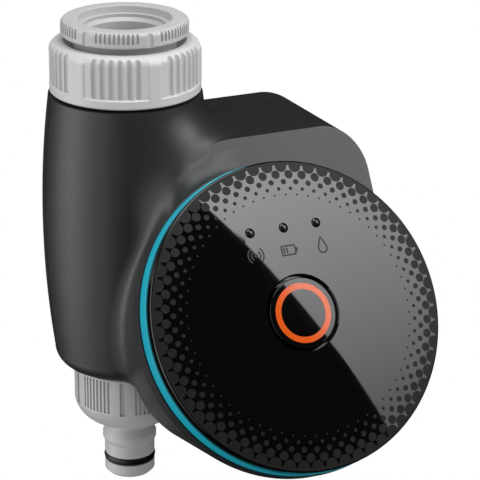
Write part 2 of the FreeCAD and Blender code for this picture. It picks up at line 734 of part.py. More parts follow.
def column(inset):
    """Barrel round the pipe, its foot edge rounded, smaller all over by inset."""
    top = COLUMN_TOP - inset
    foot = COLUMN_FOOT + inset
    turn = COLUMN_FOOT_ROUND - inset
    high_r, belly_r, low_r = (r - inset for r in (COLUMN_TOP_R, COLUMN_BELLY_R, COLUMN_FOOT_R))
    bend = foot + turn
    belly_z = (top + bend) / 2
    corner = turn * (1 - math.sqrt(0.5))
    side = Part.Arc(Vector(-high_r, 0, top), Vector(-belly_r, 0, belly_z), Vector(-low_r, 0, bend))
    toe = Part.Arc(Vector(-low_r, 0, bend), Vector(-low_r + corner, 0, foot + corner),
                   Vector(-low_r + turn, 0, foot))
    ends = [Vector(-low_r + turn, 0, foot), Vector(0, 0, foot), Vector(0, 0, top), Vector(-high_r, 0, top)]
    edges = [side.toShape(), toe.toShape()] + [Part.makeLine(a, b) for a, b in zip(ends, ends[1:])]
    return Part.Face(Part.Wire(edges)).revolve(Vector(0, 0, 0), Vector(0, 0, 1), 360)


def rounded_drum(inset):
    """Drum along Y with rounded corners and a rounded back edge."""
    x0, x1 = DRUM_LEFT + inset, DRUM_RIGHT - inset
    z0, z1 = DRUM_BOTTOM + inset, DRUM_TOP - inset
    back = DRUM_BACK - inset
    front = DRUM_FRONT + inset
    drum = box(x0, x1, front, back, z0, z1)

    def along(x, z):
        near = []
        for e in drum.Edges:
            b = e.BoundBox
            if abs(b.XMin - x) + abs(b.XMax - x) + abs(b.ZMin - z) + abs(b.ZMax - z) < 0.01:
                near.append(e)
        return near

    drum = drum.makeFillet(DRUM_TOP_ROUND - inset, along(x1, z1))
    drum = drum.makeFillet(DRUM_SIDE_ROUND - inset, along(x1, z0) + along(x0, z0) + along(x0, z1))
    rear = [e for e in drum.Edges if e.BoundBox.YMin > back - 0.01]
    return drum.makeFillet(DRUM_BACK_ROUND - inset, rear)


def panel_side(height):
    """Everything in front of the plane at this height out of the panel."""
    reach = 3 * DISH_R
    return on_panel(box(-reach, reach, -reach, reach, height, height + reach))


def flare(inset):
    """Cone that narrows from the dish back to the drum."""
    rim = DISH_LIP - DISH_RIM_H
    low = rim - DISH_FLARE_L
    cone = on_panel(Part.makeCone(DISH_FLARE_R - inset, DISH_R - inset, DISH_FLARE_L, Vector(0, 0, low)))
    reach = 3 * DISH_R
    under = box(-reach, reach, -reach, reach, DRUM_BOTTOM - reach, DRUM_BOTTOM + inset)
    return cone.cut([connector_recess(inset), under])


def dish_cup(radius, low, high):
    return on_panel(rod(radius, low, high))


def connector_recess(inset):
    """Room round the outlet connector, open below, to the left and to the back."""
    low = DRUM_BOTTOM - 2 * DISH_R
    return box(-2 * DISH_R, RECESS_SIDE + inset, RECESS_FRONT - inset, 2 * DRUM_BACK,
               low, COLUMN_FOOT + inset)


def housing_outer(inset=0):
    drum = rounded_drum(inset).cut([panel_side(-inset), connector_recess(inset)])
    lip = dish_cup(DISH_R - inset, DISH_LIP - DISH_RIM_H, DISH_LIP - inset)
    return drum.fuse([flare(inset), lip, column(inset)])


def housing_inner():
    drum = rounded_drum(WALL).cut([panel_side(-WALL), connector_recess(WALL)])
    deck = -DISH_DEPTH - DECK_T
    inner = drum.fuse([flare(WALL).cut(panel_side(deck)), column(WALL)])
    return inner.cut(dish_cup(DISH_R, deck, DISH_LIP))


def screw_places():
    """Housing screws, as (x, z)."""
    beside = COLUMN_FOOT_R - WALL - HOUSING_BOSS_R + 1.5 * BOSS_BITE
    right = DRUM_RIGHT - WALL - HOUSING_BOSS_R + BOSS_BITE
    return [
        (-beside, COLUMN_TOP - 11.0),
        (-beside, COLUMN_FOOT + 13.0),
        (right, DRUM_TOP - 18.0),
        (right, DRUM_BOTTOM + 20.0),
        (PANEL_X + 6.0, DRUM_BOTTOM + WALL + HOUSING_BOSS_R - BOSS_BITE),
    ]


def housing_shell():
    outer = housing_outer()
    shell = outer.cut(housing_inner())
    bosses = [rod_y(HOUSING_BOSS_R, SEAM_Y - 12.0, DRUM_BACK, x, z) for x, z in screw_places()]
    shell = shell.fuse([b.common(outer) for b in bosses])
    cavity = dish_cup(DISH_R - DISH_WALL, -DISH_DEPTH, DISH_LIP + 1)
    half_x, half_y = tray_half()
    tray_hole = on_panel(box(-half_x - TRAY_GAP, half_x + TRAY_GAP, -half_y - TRAY_GAP,
                             half_y + TRAY_GAP, -DISH_DEPTH - DECK_T, -DISH_DEPTH))
    tray_screw_holes = [on_panel(rod(SMALL_SCREW_R, -DISH_DEPTH - DECK_T, -DISH_DEPTH, x, y))
                        for x, y in tray_screw_places()]
    inlet_hole = rod(STUB_R + 0.2, COLUMN_TOP - WALL, COLUMN_TOP)
    outlet_hole = rod(OUTLET_THREAD_R + 0.2, COLUMN_FOOT, COLUMN_FOOT + WALL)
    cuts = [cavity, tray_hole, inlet_hole, outlet_hole] + tray_screw_holes
    head_seat = SEAM_Y + 5.0
    for x, z in screw_places():
        cuts.append(rod_y(HOUSING_SCREW_R, head_seat - HOUSING_SCREW_L, head_seat, x, z))
        cuts.append(rod_y(HOUSING_HEAD_R + 0.3, head_seat, DRUM_BACK + 5, x, z))
    return shell.cut(cuts)


def halves():
    shell = housing_shell()
    reach = 6 * DISH_R
    groove = box(-reach, reach, SEAM_Y, SEAM_Y + SEAM_GROOVE_W, -reach, reach)
    shell = shell.cut(groove.cut(housing_outer(SEAM_GROOVE_D)))
    rear = shell.common(box(-reach, reach, SEAM_Y, reach, -reach, reach))
    front = shell.common(box(-reach, reach, -reach, SEAM_Y, -reach, reach))
    return front, rear


def housing_screws():
    head_seat = SEAM_Y + 5.0
    screws = []
    for x, z in screw_places():
        shank = rod_y(HOUSING_SCREW_R, head_seat - HOUSING_SCREW_L, head_seat, x, z)
        head = rod_y(HOUSING_HEAD_R, head_seat, head_seat + HOUSING_HEAD_H, x, z)
        screws.append(shank.fuse(head))
    return Part.makeCompound(screws)


# Battery tray and cells, in the panel's frame


def tray_half():
    """Half width and half length of the tray's walls."""
    half_x = CELL_COUNT * CELL_PITCH / 2 + TRAY_WALL
    half_y = (CELL_L + CELL_NUB_L + CELL_SPRING_L + 2 * CONTACT_T) / 2 + TRAY_WALL
    return half_x, half_y


def tray_screw_places():
    half_x, half_y = tray_half()
    out = TRAY_FLANGE + 0.6
    return [(sx * (half_x - 4.0), sy * (half_y + out)) for sx in (-1, 1) for sy in (-1, 1)]


CELL_Z = -DISH_DEPTH - 1.2 - CELL_R


def battery_tray():
    half_x, half_y = tray_half()
    floor = CELL_Z - CELL_R - 0.2
    flange_top = -DISH_DEPTH + TRAY_FLANGE_T
    tray = box(-half_x, half_x, -half_y, half_y, floor - TRAY_WALL, flange_top)
    tray = tray.fuse(box(-half_x - TRAY_FLANGE, half_x + TRAY_FLANGE, -half_y - 2 * TRAY_FLANGE,
                         half_y + 2 * TRAY_FLANGE, -DISH_DEPTH, flange_top))
    inside = box(-half_x + TRAY_WALL, half_x - TRAY_WALL, -half_y + TRAY_WALL, half_y - TRAY_WALL,
                 floor, flange_top)
    holes = []
    for x, y in tray_screw_places():
        holes.append(rod(SMALL_SCREW_R, -DISH_DEPTH, flange_top, x, y))
        holes.append(rod(SMALL_HEAD_R, flange_top - SMALL_HEAD_H, flange_top, x, y))
    for x in pin_places():
        holes.append(rod(0.8, -DISH_DEPTH, flange_top, x, -half_y - TRAY_FLANGE))
    return on_panel(tray.cut([inside] + holes))


def tray_screws():
    top = -DISH_DEPTH + TRAY_FLANGE_T
    screws = []
    for x, y in tray_screw_places():
        shank = rod(SMALL_SCREW_R, -DISH_DEPTH - DECK_T, top - SMALL_HEAD_H, x, y)
        screws.append(shank.fuse(rod(SMALL_HEAD_R, top - SMALL_HEAD_H, top, x, y)))
    return on_panel(Part.makeCompound(screws))


def pin_places():
    return [-6.0, -2.0, 2.0, 6.0]


def terminal_pins():
    half_y = tray_half()[1]
    pins = [rod(0.8, -DISH_DEPTH, BASE_FLOOR_Z - 0.1, x, -half_y - TRAY_FLANGE) for x in pin_places()]
    return on_panel(Part.makeCompound(pins))


def cell(k):
    """One AA cell, every second one turned end for end."""
    half_y = tray_half()[1] - TRAY_WALL
    x = CELL_PITCH * (k - (CELL_COUNT - 1) / 2)
    start = -half_y + CONTACT_T + CELL_SPRING_L
    body = rod_y(CELL_R, start, start + CELL_L, x, CELL_Z)
    rim = [e for e in body.Edges if e.Length > 6 * CELL_R and e.BoundBox.YLength < 0.01]
    body = body.makeFillet(0.6, rim)
    body = body.fuse(rod_y(CELL_NUB_R, start + CELL_L, start + CELL_L + CELL_NUB_L, x, CELL_Z))
    if k % 2:
        body.rotate(Vector(x, 0, CELL_Z), Vector(0, 0, 1), 180)
    return on_panel(body)


def end_sides():
    """For each cell, its x and the side, -1 or 1 along Y, where its flat end is."""
    return [(CELL_PITCH * (k - (CELL_COUNT - 1) / 2), 1 if k % 2 else -1) for k in range(CELL_COUNT)]


def cell_springs():
    half_y = tray_half()[1] - TRAY_WALL
    springs = []
    for x, side in end_sides():
        turns = coil(CELL_SPRING_R, CELL_WIRE_R, CELL_SPRING_TURNS, CELL_SPRING_L - 4 * CELL_WIRE_R)
        turns.translate(Vector(0, 0, 2 * CELL_WIRE_R))
        pad = rod(CELL_SPRING_R + 2 * CELL_WIRE_R, 0, CONTACT_T)
        spring = Part.makeCompound([turns, pad])
        spring.rotate(Vector(0, 0, 0), Vector(1, 0, 0), 90 * side)
        spring.translate(Vector(x, side * half_y, CELL_Z))
        springs.append(spring)
    return on_panel(Part.makeCompound(springs))


def cell_contacts():
    half_y = tray_half()[1] - TRAY_WALL
    plates = []
    for x, side in end_sides():
        y = -side * half_y
        low, high = sorted((y, y + side * CONTACT_T))
        plates.append(box(x - 5, x + 5, low, high, CELL_Z - 5, CELL_Z + 5))
    return on_panel(Part.makeCompound(plates))


# Control unit, in the panel's frame

PLUG_R = DISH_R - DISH_WALL - PLUG_GAP
TRIM_R = DISH_R - TRIM_SET
COVER_R = TRIM_R - COVER_SET
BASE_SKIRT_R = TRIM_R - TRIM_W
BOARD_R = BASE_SKIRT_R - BASE_SKIRT_T - BOARD_GAP
TRIM_TOP = TRIM_Z + TRIM_H
COVER_EDGE = TRIM_TOP + COVER_SIDE_H
COVER_TOP = COVER_EDGE + DOME_RISE
DOME_R = (COVER_R ** 2 + DOME_RISE ** 2) / (2 * DOME_RISE)
BOARD_TOP = BOARD_Z + BOARD_T


def dome(rise_off):
    """Ball that the cover's front follows, moved out by rise_off."""
    return Part.makeSphere(DOME_R + rise_off, Vector(0, 0, COVER_TOP - DOME_R))


def dome_height(radius, rise_off=0.0):
    return COVER_TOP - DOME_R + math.sqrt((DOME_R + rise_off) ** 2 - radius ** 2)


def post_places():
    radius = BOARD_R - POST_INSET
    turns = [math.radians(45.0 + 360.0 / POST_COUNT * k) for k in range(POST_COUNT)]
    return [(radius * math.cos(a), radius * math.sin(a)) for a in turns]


def led_places():
    return [(LED_PITCH * k, LED_Y) for k in (-1, 0, 1)]


def control_base():
    floor_top = BASE_FLOOR_Z + BASE_FLOOR
    base = rod(PLUG_R, BASE_FLOOR_Z, TRIM_Z)
    base = base.fuse(tube(BASE_SKIRT_R, BASE_SKIRT_R - BASE_SKIRT_T, TRIM_Z, TRIM_TOP + 1.0))
    base = base.cut(rod(BASE_SKIRT_R - BASE_SKIRT_T, floor_top, TRIM_TOP + 1.0))
    base = base.fuse([rod(POST_R, floor_top, BOARD_Z, x, y) for x, y in post_places()])
    groove = tube(PLUG_R, PLUG_R - 1.0, BASE_SEAL_Z - 0.8, BASE_SEAL_Z + 0.8)
    cuts = [groove]
    for x, y in post_places():
        cuts.append(rod(SMALL_SCREW_R, BASE_FLOOR_Z, BOARD_Z, x, y))
        cuts.append(rod(SMALL_HEAD_R, BASE_FLOOR_Z, BASE_FLOOR_Z + SMALL_HEAD_H, x, y))
    half_y = tray_half()[1]
    for x in pin_places():
        cuts.append(rod(1.3, BASE_FLOOR_Z, BASE_FLOOR_Z + 0.6, x, -half_y - TRAY_FLANGE))
    return on_panel(base.cut(cuts))


def contact_pads():
    half_y = tray_half()[1]
    pads = [rod(1.3, BASE_FLOOR_Z, BASE_FLOOR_Z + 0.6, x, -half_y - TRAY_FLANGE) for x in pin_places()]
    return on_panel(Part.makeCompound(pads))


def base_seal():
    major = DISH_R - DISH_WALL - RUNNING_GAP - BASE_SEAL_R
    return on_panel(Part.makeTorus(major, BASE_SEAL_R, Vector(0, 0, BASE_SEAL_Z)))


def trim_ring():
    ring = tube(TRIM_R, BASE_SKIRT_R, TRIM_Z, TRIM_TOP)
    rim = [e for e in ring.Edges if e.Length > 6 * (TRIM_R - 0.5)]
    return on_panel(ring.makeFillet(0.3, rim))


def face_cover():
    cover = rod(COVER_R, TRIM_TOP, COVER_TOP).common(dome(0))
    rim = [e for e in cover.Edges
           if e.Length > 6 * (COVER_R - 1) and e.BoundBox.ZMin > COVER_EDGE - 0.1]
    cover = cover.makeFillet(0.6, rim)
    hollow = rod(COVER_R - COVER_T, TRIM_TOP, COVER_TOP).common(dome(-COVER_T))
    cover = cover.cut(hollow)
    bosses = []
    for x, y in post_places():
        bosses.append(rod(POST_R, BOARD_TOP, COVER_EDGE + 1.0, x, y).common(dome(-COVER_T / 2)))
    cover = cover.fuse(bosses)
    cuts = [rod(BUTTON_HOLE_R, TRIM_TOP, COVER_TOP + 1)]
    bevel_low = Vector(0, 0, dome_height(BUTTON_HOLE_R) - 0.4)
    bevel = Part.makeCone(BUTTON_HOLE_R, BUTTON_HOLE_R + 0.5, 0.5, bevel_low)
    cuts.append(bevel)
    cuts += [rod(LED_R, TRIM_TOP, COVER_TOP + 1, x, y) for x, y in led_places()]
    cuts += [rod(SMALL_SCREW_R, BOARD_TOP, COVER_EDGE - 1.5, x, y) for x, y in post_places()]
    return on_panel(cover.cut(cuts))


def base_screws():
    screws = []
    for x, y in post_places():
        shank = rod(SMALL_SCREW_R, BASE_FLOOR_Z, COVER_EDGE - 1.5, x, y)
        screws.append(shank.fuse(rod(SMALL_HEAD_R, BASE_FLOOR_Z, BASE_FLOOR_Z + SMALL_HEAD_H, x, y)))
    return on_panel(Part.makeCompound(screws))


def circuit_board():
    board = rod(BOARD_R, BOARD_Z, BOARD_TOP)
    holes = [rod(SMALL_SCREW_R, BOARD_Z, BOARD_TOP, x, y) for x, y in post_places()]
    return on_panel(board.cut(holes))


def board_parts():
    """Processor, memory and driver chips and two capacitors."""
    far = BOARD_R / 2
    chips = [
        box(-far - CHIP_W / 2, -far + CHIP_W / 2, -CHIP_W / 2, CHIP_W / 2, BOARD_TOP, BOARD_TOP + CHIP_T),
        box(-far - CHIP_W / 2, -far, CHIP_W, 1.5 * CHIP_W, BOARD_TOP, BOARD_TOP + CHIP_T),
        box(far - CHIP_W / 2, far, -far, CHIP_W / 2 - far, BOARD_TOP, BOARD_TOP + CHIP_T),
        rod(CAPACITOR_R, BOARD_TOP, BOARD_TOP + CAPACITOR_H, -far, -far),
        rod(CAPACITOR_R, BOARD_TOP, BOARD_TOP + CAPACITOR_H, 3 * CAPACITOR_R - far, -far),
    ]
    return on_panel(Part.makeCompound(chips))


def radio_module():
    """Small board with a metal can on it, near the edge of the main board."""
    middle = BOARD_R - POST_INSET - RADIO_W / 2
    half = RADIO_W / 2
    small_board = box(middle - half, middle + half, -half, half, BOARD_TOP, BOARD_TOP + RADIO_T)
    can = box(middle - half + 1, middle + half - 1, 1 - half, half - 4, BOARD_TOP + RADIO_T,
              BOARD_TOP + RADIO_T + RADIO_CAN_H)
    return on_panel(small_board.fuse(can))


def push_switch():
    half = SWITCH_W / 2
    body = box(-half, half, -half, half, BOARD_TOP, BOARD_TOP + SWITCH_H)
    return on_panel(body.fuse(rod(PLUNGER_R, BOARD_TOP + SWITCH_H, BOARD_TOP + SWITCH_H + PLUNGER_H)))


def led_lenses():
    """Three light pipes from the board to domes just proud of the cover."""
    lenses = []
    for x, y in led_places():
        top = dome_height(math.hypot(x, y))
        pipe = rod(LED_R - 0.02, BOARD_TOP + 0.8, top, x, y)
        ball_r = (LED_R ** 2 + LED_PROUD ** 2) / (2 * LED_PROUD)
        cap = Part.makeSphere(ball_r, Vector(x, y, top + LED_PROUD - ball_r))
        cap = cap.common(rod(LED_R - 0.02, top, top + 2, x, y))
        lenses.append(pipe.fuse(cap))
    return on_panel(Part.makeCompound(lenses))


def led_lamps():
    lamps = [box(x - 1, x + 1, y - 0.7, y + 0.7, BOARD_TOP, BOARD_TOP + 0.8) for x, y in led_places()]
    return on_panel(Part.makeCompound(lamps))


FLANGE_TOP = dome_height(BUTTON_FLANGE_R, -COVER_T) - 0.05
FLANGE_LOW = FLANGE_TOP - 1.0


def button_cap():
    body = rod(BUTTON_R, FLANGE_TOP, COVER_TOP).common(dome(0))
    rim = [e for e in body.Edges if e.Length > 6 * BUTTON_R and e.BoundBox.ZMin > FLANGE_TOP + 0.2]
    body = body.makeFillet(0.4, rim)
    body = body.fuse(rod(BUTTON_FLANGE_R, FLANGE_LOW, FLANGE_TOP))
    ring_low = COVER_TOP - BUTTON_T + 0.4
    groove = tube(BUTTON_RING_R, BUTTON_RING_R - BUTTON_RING_W, ring_low, COVER_TOP)
    body = body.cut(groove)
    stem_low = BOARD_TOP + SWITCH_H + PLUNGER_H + BUTTON_TRAVEL + 0.1
    if stem_low < FLANGE_LOW:
        body = body.fuse(rod(PLUNGER_R, stem_low, FLANGE_LOW))
    return on_panel(body)


def button_ring():
    ring_low = COVER_TOP - BUTTON_T + 0.4
    ring = tube(BUTTON_RING_R, BUTTON_RING_R - BUTTON_RING_W, ring_low, COVER_TOP + 1)
    return on_panel(ring.common(dome(0.05)))


def button_spring():
    """Coil spring round the switch, from the board to the button's flange."""
    room = FLANGE_LOW - BOARD_TOP
    radius = SWITCH_W / 2 * math.sqrt(2) + 4 * BUTTON_WIRE_R
    spring = coil(radius, BUTTON_WIRE_R, BUTTON_SPRING_TURNS, room - 2 * BUTTON_WIRE_R)
    spring.translate(Vector(0, 0, BOARD_TOP + BUTTON_WIRE_R))
    return on_panel(spring)


def build():
    front, rear = halves()
    node("tap_adapter", tap_adapter())
    node("tap_washer", tap_washer())
    node("union_nut", union_nut())
    node("nut_clip", nut_clip())
    node("inlet_washer", tube(STUB_R, WATERWAY_R, STUB_TOP, STUB_TOP + WASHER_H))
    node("inlet_filter", inlet_filter())
    node("valve_body", valve_body())
    node("valve_tail", valve_tail())
    node("upper_seat", seat(1))
    node("lower_seat", seat(-1))
    node("valve_ball", valve_ball())
    node("valve_stem", valve_stem())
    node("stem_ring", stem_ring())
    node("output_gear", output_gear())
    node("low_wheel", compound_wheel(0, LOW_AT, LOW_WHEEL_TURN, LOW_PINION_TURN))
    node("high_wheel", compound_wheel(1, HIGH_AT, HIGH_WHEEL_TURN, HIGH_PINION_TURN))
    node("motor_pinion", motor_pinion())
    node("motor", motor())
    node("gearbox_plate", gearbox_plate())
    node("gearbox_cover", gearbox_cover())
    node("gear_axles", gear_axles())
    node("gearbox_screws", gearbox_screws())
    node("valve_screws", valve_screws())
    node("outlet_connector", outlet_connector())
    node("connector_washer", connector_washer())
    node("spigot_ring", spigot_ring())
    node("front_housing", front)
    node("rear_housing", rear)
    node("housing_screws", housing_screws())
    node("battery_tray", battery_tray())
    node("tray_screws", tray_screws())
    node("terminal_pins", terminal_pins())
    for k in range(CELL_COUNT):
        node("battery_%d" % (k + 1), cell(k))
    node("cell_springs", cell_springs())
    node("cell_contacts", cell_contacts())
    node("control_base", control_base())
    node("contact_pads", contact_pads())
    node("base_seal", base_seal())
    node("trim_ring", trim_ring())
    node("face_cover", face_cover())
    node("base_screws", base_screws())
    node("circuit_board", circuit_board())
    node("board_parts", board_parts())
    node("radio_module", radio_module())
    node("push_switch", push_switch())
    node("led_lenses", led_lenses())
    node("led_lamps", led_lamps())
    node("button_cap", button_cap())
    node("button_ring", button_ring())
    node("button_spring", button_spring())


build()
for name, shape in nodes.items():
    shape.translate(Vector(0, 0, INLET_LEAD_H + INLET_STEP_H))
    shape.exportStep("parts/%s.step" % name)
    valid = "valid" if shape.isValid() else "NOT VALID"
    print(name, len(shape.Solids), "solids", valid, round(shape.Volume, 1))
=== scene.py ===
import json
import math

import bmesh
import bpy
import numpy as np
from mathutils import Matrix, Vector


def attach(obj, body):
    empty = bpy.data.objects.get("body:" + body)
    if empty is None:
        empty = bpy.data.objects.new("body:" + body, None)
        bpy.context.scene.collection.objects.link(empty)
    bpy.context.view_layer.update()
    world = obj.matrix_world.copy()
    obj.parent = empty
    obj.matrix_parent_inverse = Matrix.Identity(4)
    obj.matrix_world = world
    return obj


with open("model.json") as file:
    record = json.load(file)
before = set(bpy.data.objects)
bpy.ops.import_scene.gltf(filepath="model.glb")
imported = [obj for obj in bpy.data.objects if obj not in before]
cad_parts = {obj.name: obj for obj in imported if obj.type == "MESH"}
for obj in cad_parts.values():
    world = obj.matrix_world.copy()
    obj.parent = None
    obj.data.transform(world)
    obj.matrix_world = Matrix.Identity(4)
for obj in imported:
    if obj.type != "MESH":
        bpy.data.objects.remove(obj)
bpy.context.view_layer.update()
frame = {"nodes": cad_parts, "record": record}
NODES = frame["nodes"]

# Sizes in millimetres, as in the CAD source. Heights count from the top ring
# of the tap adapter, and LIFT is where that ring lies in the row's frame.
MM = 0.001
LIFT = 4.6

# The tilted panel: its middle, and the ways out of it, up it and across it
PANEL_TILT = math.radians(30.0)
PANEL = np.array([30.0, -57.5, -87.2])
OUT = np.array([0.0, -math.cos(PANEL_TILT), math.sin(PANEL_TILT)])
UP = np.array([0.0, math.sin(PANEL_TILT), math.cos(PANEL_TILT)])
ACROSS = np.array([1.0, 0.0, 0.0])

# The round control unit on the panel, with heights out of the panel
DISH_R = 50.0
TRIM_SET = 0.5
TRIM_Z = 1.0
TRIM_H = 4.8
COVER_SET = 0.4
COVER_SIDE_H = 3.5
DOME_RISE = 3.7
COVER_R = DISH_R - TRIM_SET - COVER_SET
COVER_TOP = TRIM_Z + TRIM_H + COVER_SIDE_H + DOME_RISE
DOME_R = (COVER_R ** 2 + DOME_RISE ** 2) / (2 * DOME_RISE)
INK_HEIGHT = 0.03


def row_frame(point):
    """A point in millimetres from the tap face, as metres in the row's frame."""
    return Vector((point[0] * MM, point[1] * MM, (point[2] + LIFT) * MM))


def on_face(x, y, height=INK_HEIGHT):
    """A point on the domed face, x across and y up it."""
    z = COVER_TOP - DOME_R + math.sqrt(DOME_R ** 2 - x * x - y * y) + height
    return row_frame(PANEL + ACROSS * x + UP * y + OUT * z)


def in_scene(name, data):
    """A new object in the scene, for a mesh, a camera or a lamp."""
    thing = bpy.data.objects.new(name, data)
    bpy.context.collection.objects.link(thing)
    return thing


def mesh_of(name, points, faces):
    """A mesh from points in metres."""
    mesh = bpy.data.meshes.new(name)
    mesh.from_pydata([tuple(point) for point in points], [], faces)
    mesh.update()
    return mesh


def shade_smooth(mesh):
    mesh.polygons.foreach_set("use_smooth", [True] * len(mesh.polygons))


def mesh_piece(name, points, faces, body):
    """A piece with smooth shading that moves with a body."""
    mesh = mesh_of(name, points, faces)
    shade_smooth(mesh)
    piece = in_scene(name, mesh)
    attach(piece, body)
    return piece


def round_points(radius, count, x=0.0, y=0.0):
    """Even points round a circle with its middle at x, y."""
    turns = [2 * math.pi * k / count for k in range(count)]
    return [(x + radius * math.cos(turn), y + radius * math.sin(turn)) for turn in turns]


# Materials. The scales of the noises count per metre.

MOTTLE_SCALE = 55.0
MOTTLE_DETAIL = 4.0
MOTTLE_TONE = 0.05
MOTTLE_GLOSS = 0.03
GRAIN_SCALE = 2600.0
GRAIN_DETAIL = 2.0
GRAIN_DEPTH = 0.1
TURNING_SCALE = 900.0
TURNING_DETAIL = 3.0
TURNING_GLOSS = 0.08
LEAST_ROUGHNESS = 0.01
LENS_GRAIN = 0.02
LENS_CLEARNESS = 0.1
LENS_IOR = 1.49

# The sockets of the Mix node, when it mixes colours
MIX_SHARE = 0
MIX_FIRST = 6
MIX_SECOND = 7
MIX_RESULT = 2


def material(name):
    mat = bpy.data.materials.new(name)
    mat.use_nodes = True
    return mat, mat.node_tree.nodes, mat.node_tree.links


def noise(nodes, links, where, scale, detail):
    """A noise that stays with the object."""
    texture = nodes.new("ShaderNodeTexNoise")
    texture.inputs["Scale"].default_value = scale
    texture.inputs["Detail"].default_value = detail
    links.new(where.outputs["Object"], texture.inputs["Vector"])
    return texture


def vary_gloss(nodes, links, texture, roughness, spread):
    """The shader's roughness follows a noise, by a spread to either side."""
    gloss = nodes.new("ShaderNodeMapRange")
    gloss.inputs["To Min"].default_value = max(roughness - spread, LEAST_ROUGHNESS)
    gloss.inputs["To Max"].default_value = roughness + spread
    links.new(texture.outputs["Fac"], gloss.inputs["Value"])
    links.new(gloss.outputs["Result"], nodes["Principled BSDF"].inputs["Roughness"])


def moulded(name, colour, roughness, grain=0.06, specular=0.5):
    """Moulded plastic: slight mottling of colour and gloss, and a fine grain in the surface."""
    mat, nodes, links = material(name)
    shader = nodes["Principled BSDF"]
    where = nodes.new("ShaderNodeTexCoord")
    broad = noise(nodes, links, where, MOTTLE_SCALE, MOTTLE_DETAIL)
    tone = nodes.new("ShaderNodeMix")
    tone.data_type = "RGBA"
    tone.inputs[MIX_FIRST].default_value = (*[part * (1 - MOTTLE_TONE) for part in colour], 1)
    tone.inputs[MIX_SECOND].default_value = (*[min(part * (1 + MOTTLE_TONE), 1) for part in colour], 1)
    links.new(broad.outputs["Fac"], tone.inputs[MIX_SHARE])
    links.new(tone.outputs[MIX_RESULT], shader.inputs["Base Color"])
    vary_gloss(nodes, links, broad, roughness, MOTTLE_GLOSS)
    shader.inputs["Specular IOR Level"].default_value = specular
    if grain > 0:
        fine = noise(nodes, links, where, GRAIN_SCALE, GRAIN_DETAIL)
        bump = nodes.new("ShaderNodeBump")
        bump.inputs["Strength"].default_value = grain
        bump.inputs["Distance"].default_value = GRAIN_DEPTH * MM
        links.new(fine.outputs["Fac"], bump.inputs["Height"])
        links.new(bump.outputs["Normal"], shader.inputs["Normal"])
    return mat


def metal(name, colour, roughness):
    """Machined metal with fine marks that vary its gloss."""
    mat, nodes, links = material(name)
    shader = nodes["Principled BSDF"]
    shader.inputs["Base Color"].default_value = (*colour, 1)
    shader.inputs["Metallic"].default_value = 1.0
    where = nodes.new("ShaderNodeTexCoord")
    marks = noise(nodes, links, where, TURNING_SCALE, TURNING_DETAIL)
    vary_gloss(nodes, links, marks, roughness, TURNING_GLOSS)
    return mat


def clear(name, colour, roughness):
    """Dark clear plastic with a faint grain, which lets a little light through."""
    mat = moulded(name, colour, roughness, grain=LENS_GRAIN)
    shader = mat.node_tree.nodes["Principled BSDF"]
    shader.inputs["Transmission Weight"].default_value = LENS_CLEARNESS
    shader.inputs["IOR"].default_value = LENS_IOR
    return mat


LIGHT_GREY = moulded("adapter_plastic", (0.49, 0.49, 0.49), 0.42)
NUT_GREY = moulded("nut_plastic", (0.58, 0.58, 0.58), 0.4)
ANTHRACITE = moulded("housing_plastic", (0.0195, 0.0203, 0.0205), 0.42, grain=0.1)
CYAN = moulded("trim_plastic", (0.002, 0.40, 0.53), 0.38, grain=0.03)
FACE_BLACK = moulded("face_plastic", (0.0025, 0.0025, 0.0025), 0.02, grain=0.0)
INK = moulded("face_print", (0.006, 0.006, 0.006), 0.5, grain=0.03, specular=0.25)
SIGN = moulded("sign_print", (0.042, 0.042, 0.042), 0.55, grain=0.03, specular=0.15)
ORANGE = moulded("button_ring_plastic", (0.63, 0.086, 0.006), 0.12, grain=0.0, specular=0.42)
CONNECTOR_GREY = moulded("connector_plastic", (0.52, 0.52, 0.52), 0.4)
RUBBER = moulded("seal_rubber", (0.004, 0.004, 0.004), 0.45, grain=0.04)
LENS = clear("lens_plastic", (0.01, 0.01, 0.01), 0.06)
DARK_PLASTIC = moulded("inner_plastic", (0.05, 0.05, 0.053), 0.5)
WHITE_PLASTIC = moulded("gear_plastic", (0.62, 0.62, 0.6), 0.4)
STEEL = metal("plain_steel", (0.55, 0.55, 0.55), 0.3)
BRASS = metal("turned_brass", (0.66, 0.45, 0.16), 0.28)
BOARD = moulded("board_green", (0.012, 0.12, 0.045), 0.3, grain=0.05)
CHIP = moulded("chip_black", (0.015, 0.015, 0.015), 0.5)
WRAP = moulded("cell_wrap", (0.16, 0.18, 0.2), 0.28, grain=0.02)

SLOT_MATERIALS = {
    "light_grey": LIGHT_GREY,
    "nut_grey": NUT_GREY,
    "anthracite": ANTHRACITE,
    "cyan": CYAN,
    "face_black": FACE_BLACK,
    "orange": ORANGE,
    "connector_grey": CONNECTOR_GREY,
    "black_rubber": RUBBER,
    "clear_lens": LENS,
    "valve_plastic": DARK_PLASTIC,
    "white_plastic": WHITE_PLASTIC,
    "steel": STEEL,
    "brass": BRASS,
    "board_green": BOARD,
    "chip_black": CHIP,
    "cell_wrap": WRAP,
}

for part in frame["record"]["subparts"]:
    node = NODES[part["node"]]
    node.data.materials.clear()
    node.data.materials.append(SLOT_MATERIALS[part["material_slot"]])


# The smooth shoulder between the pipe column and the head of the housing. It
# is wide at the front of the top, and tight at the back and down the side.

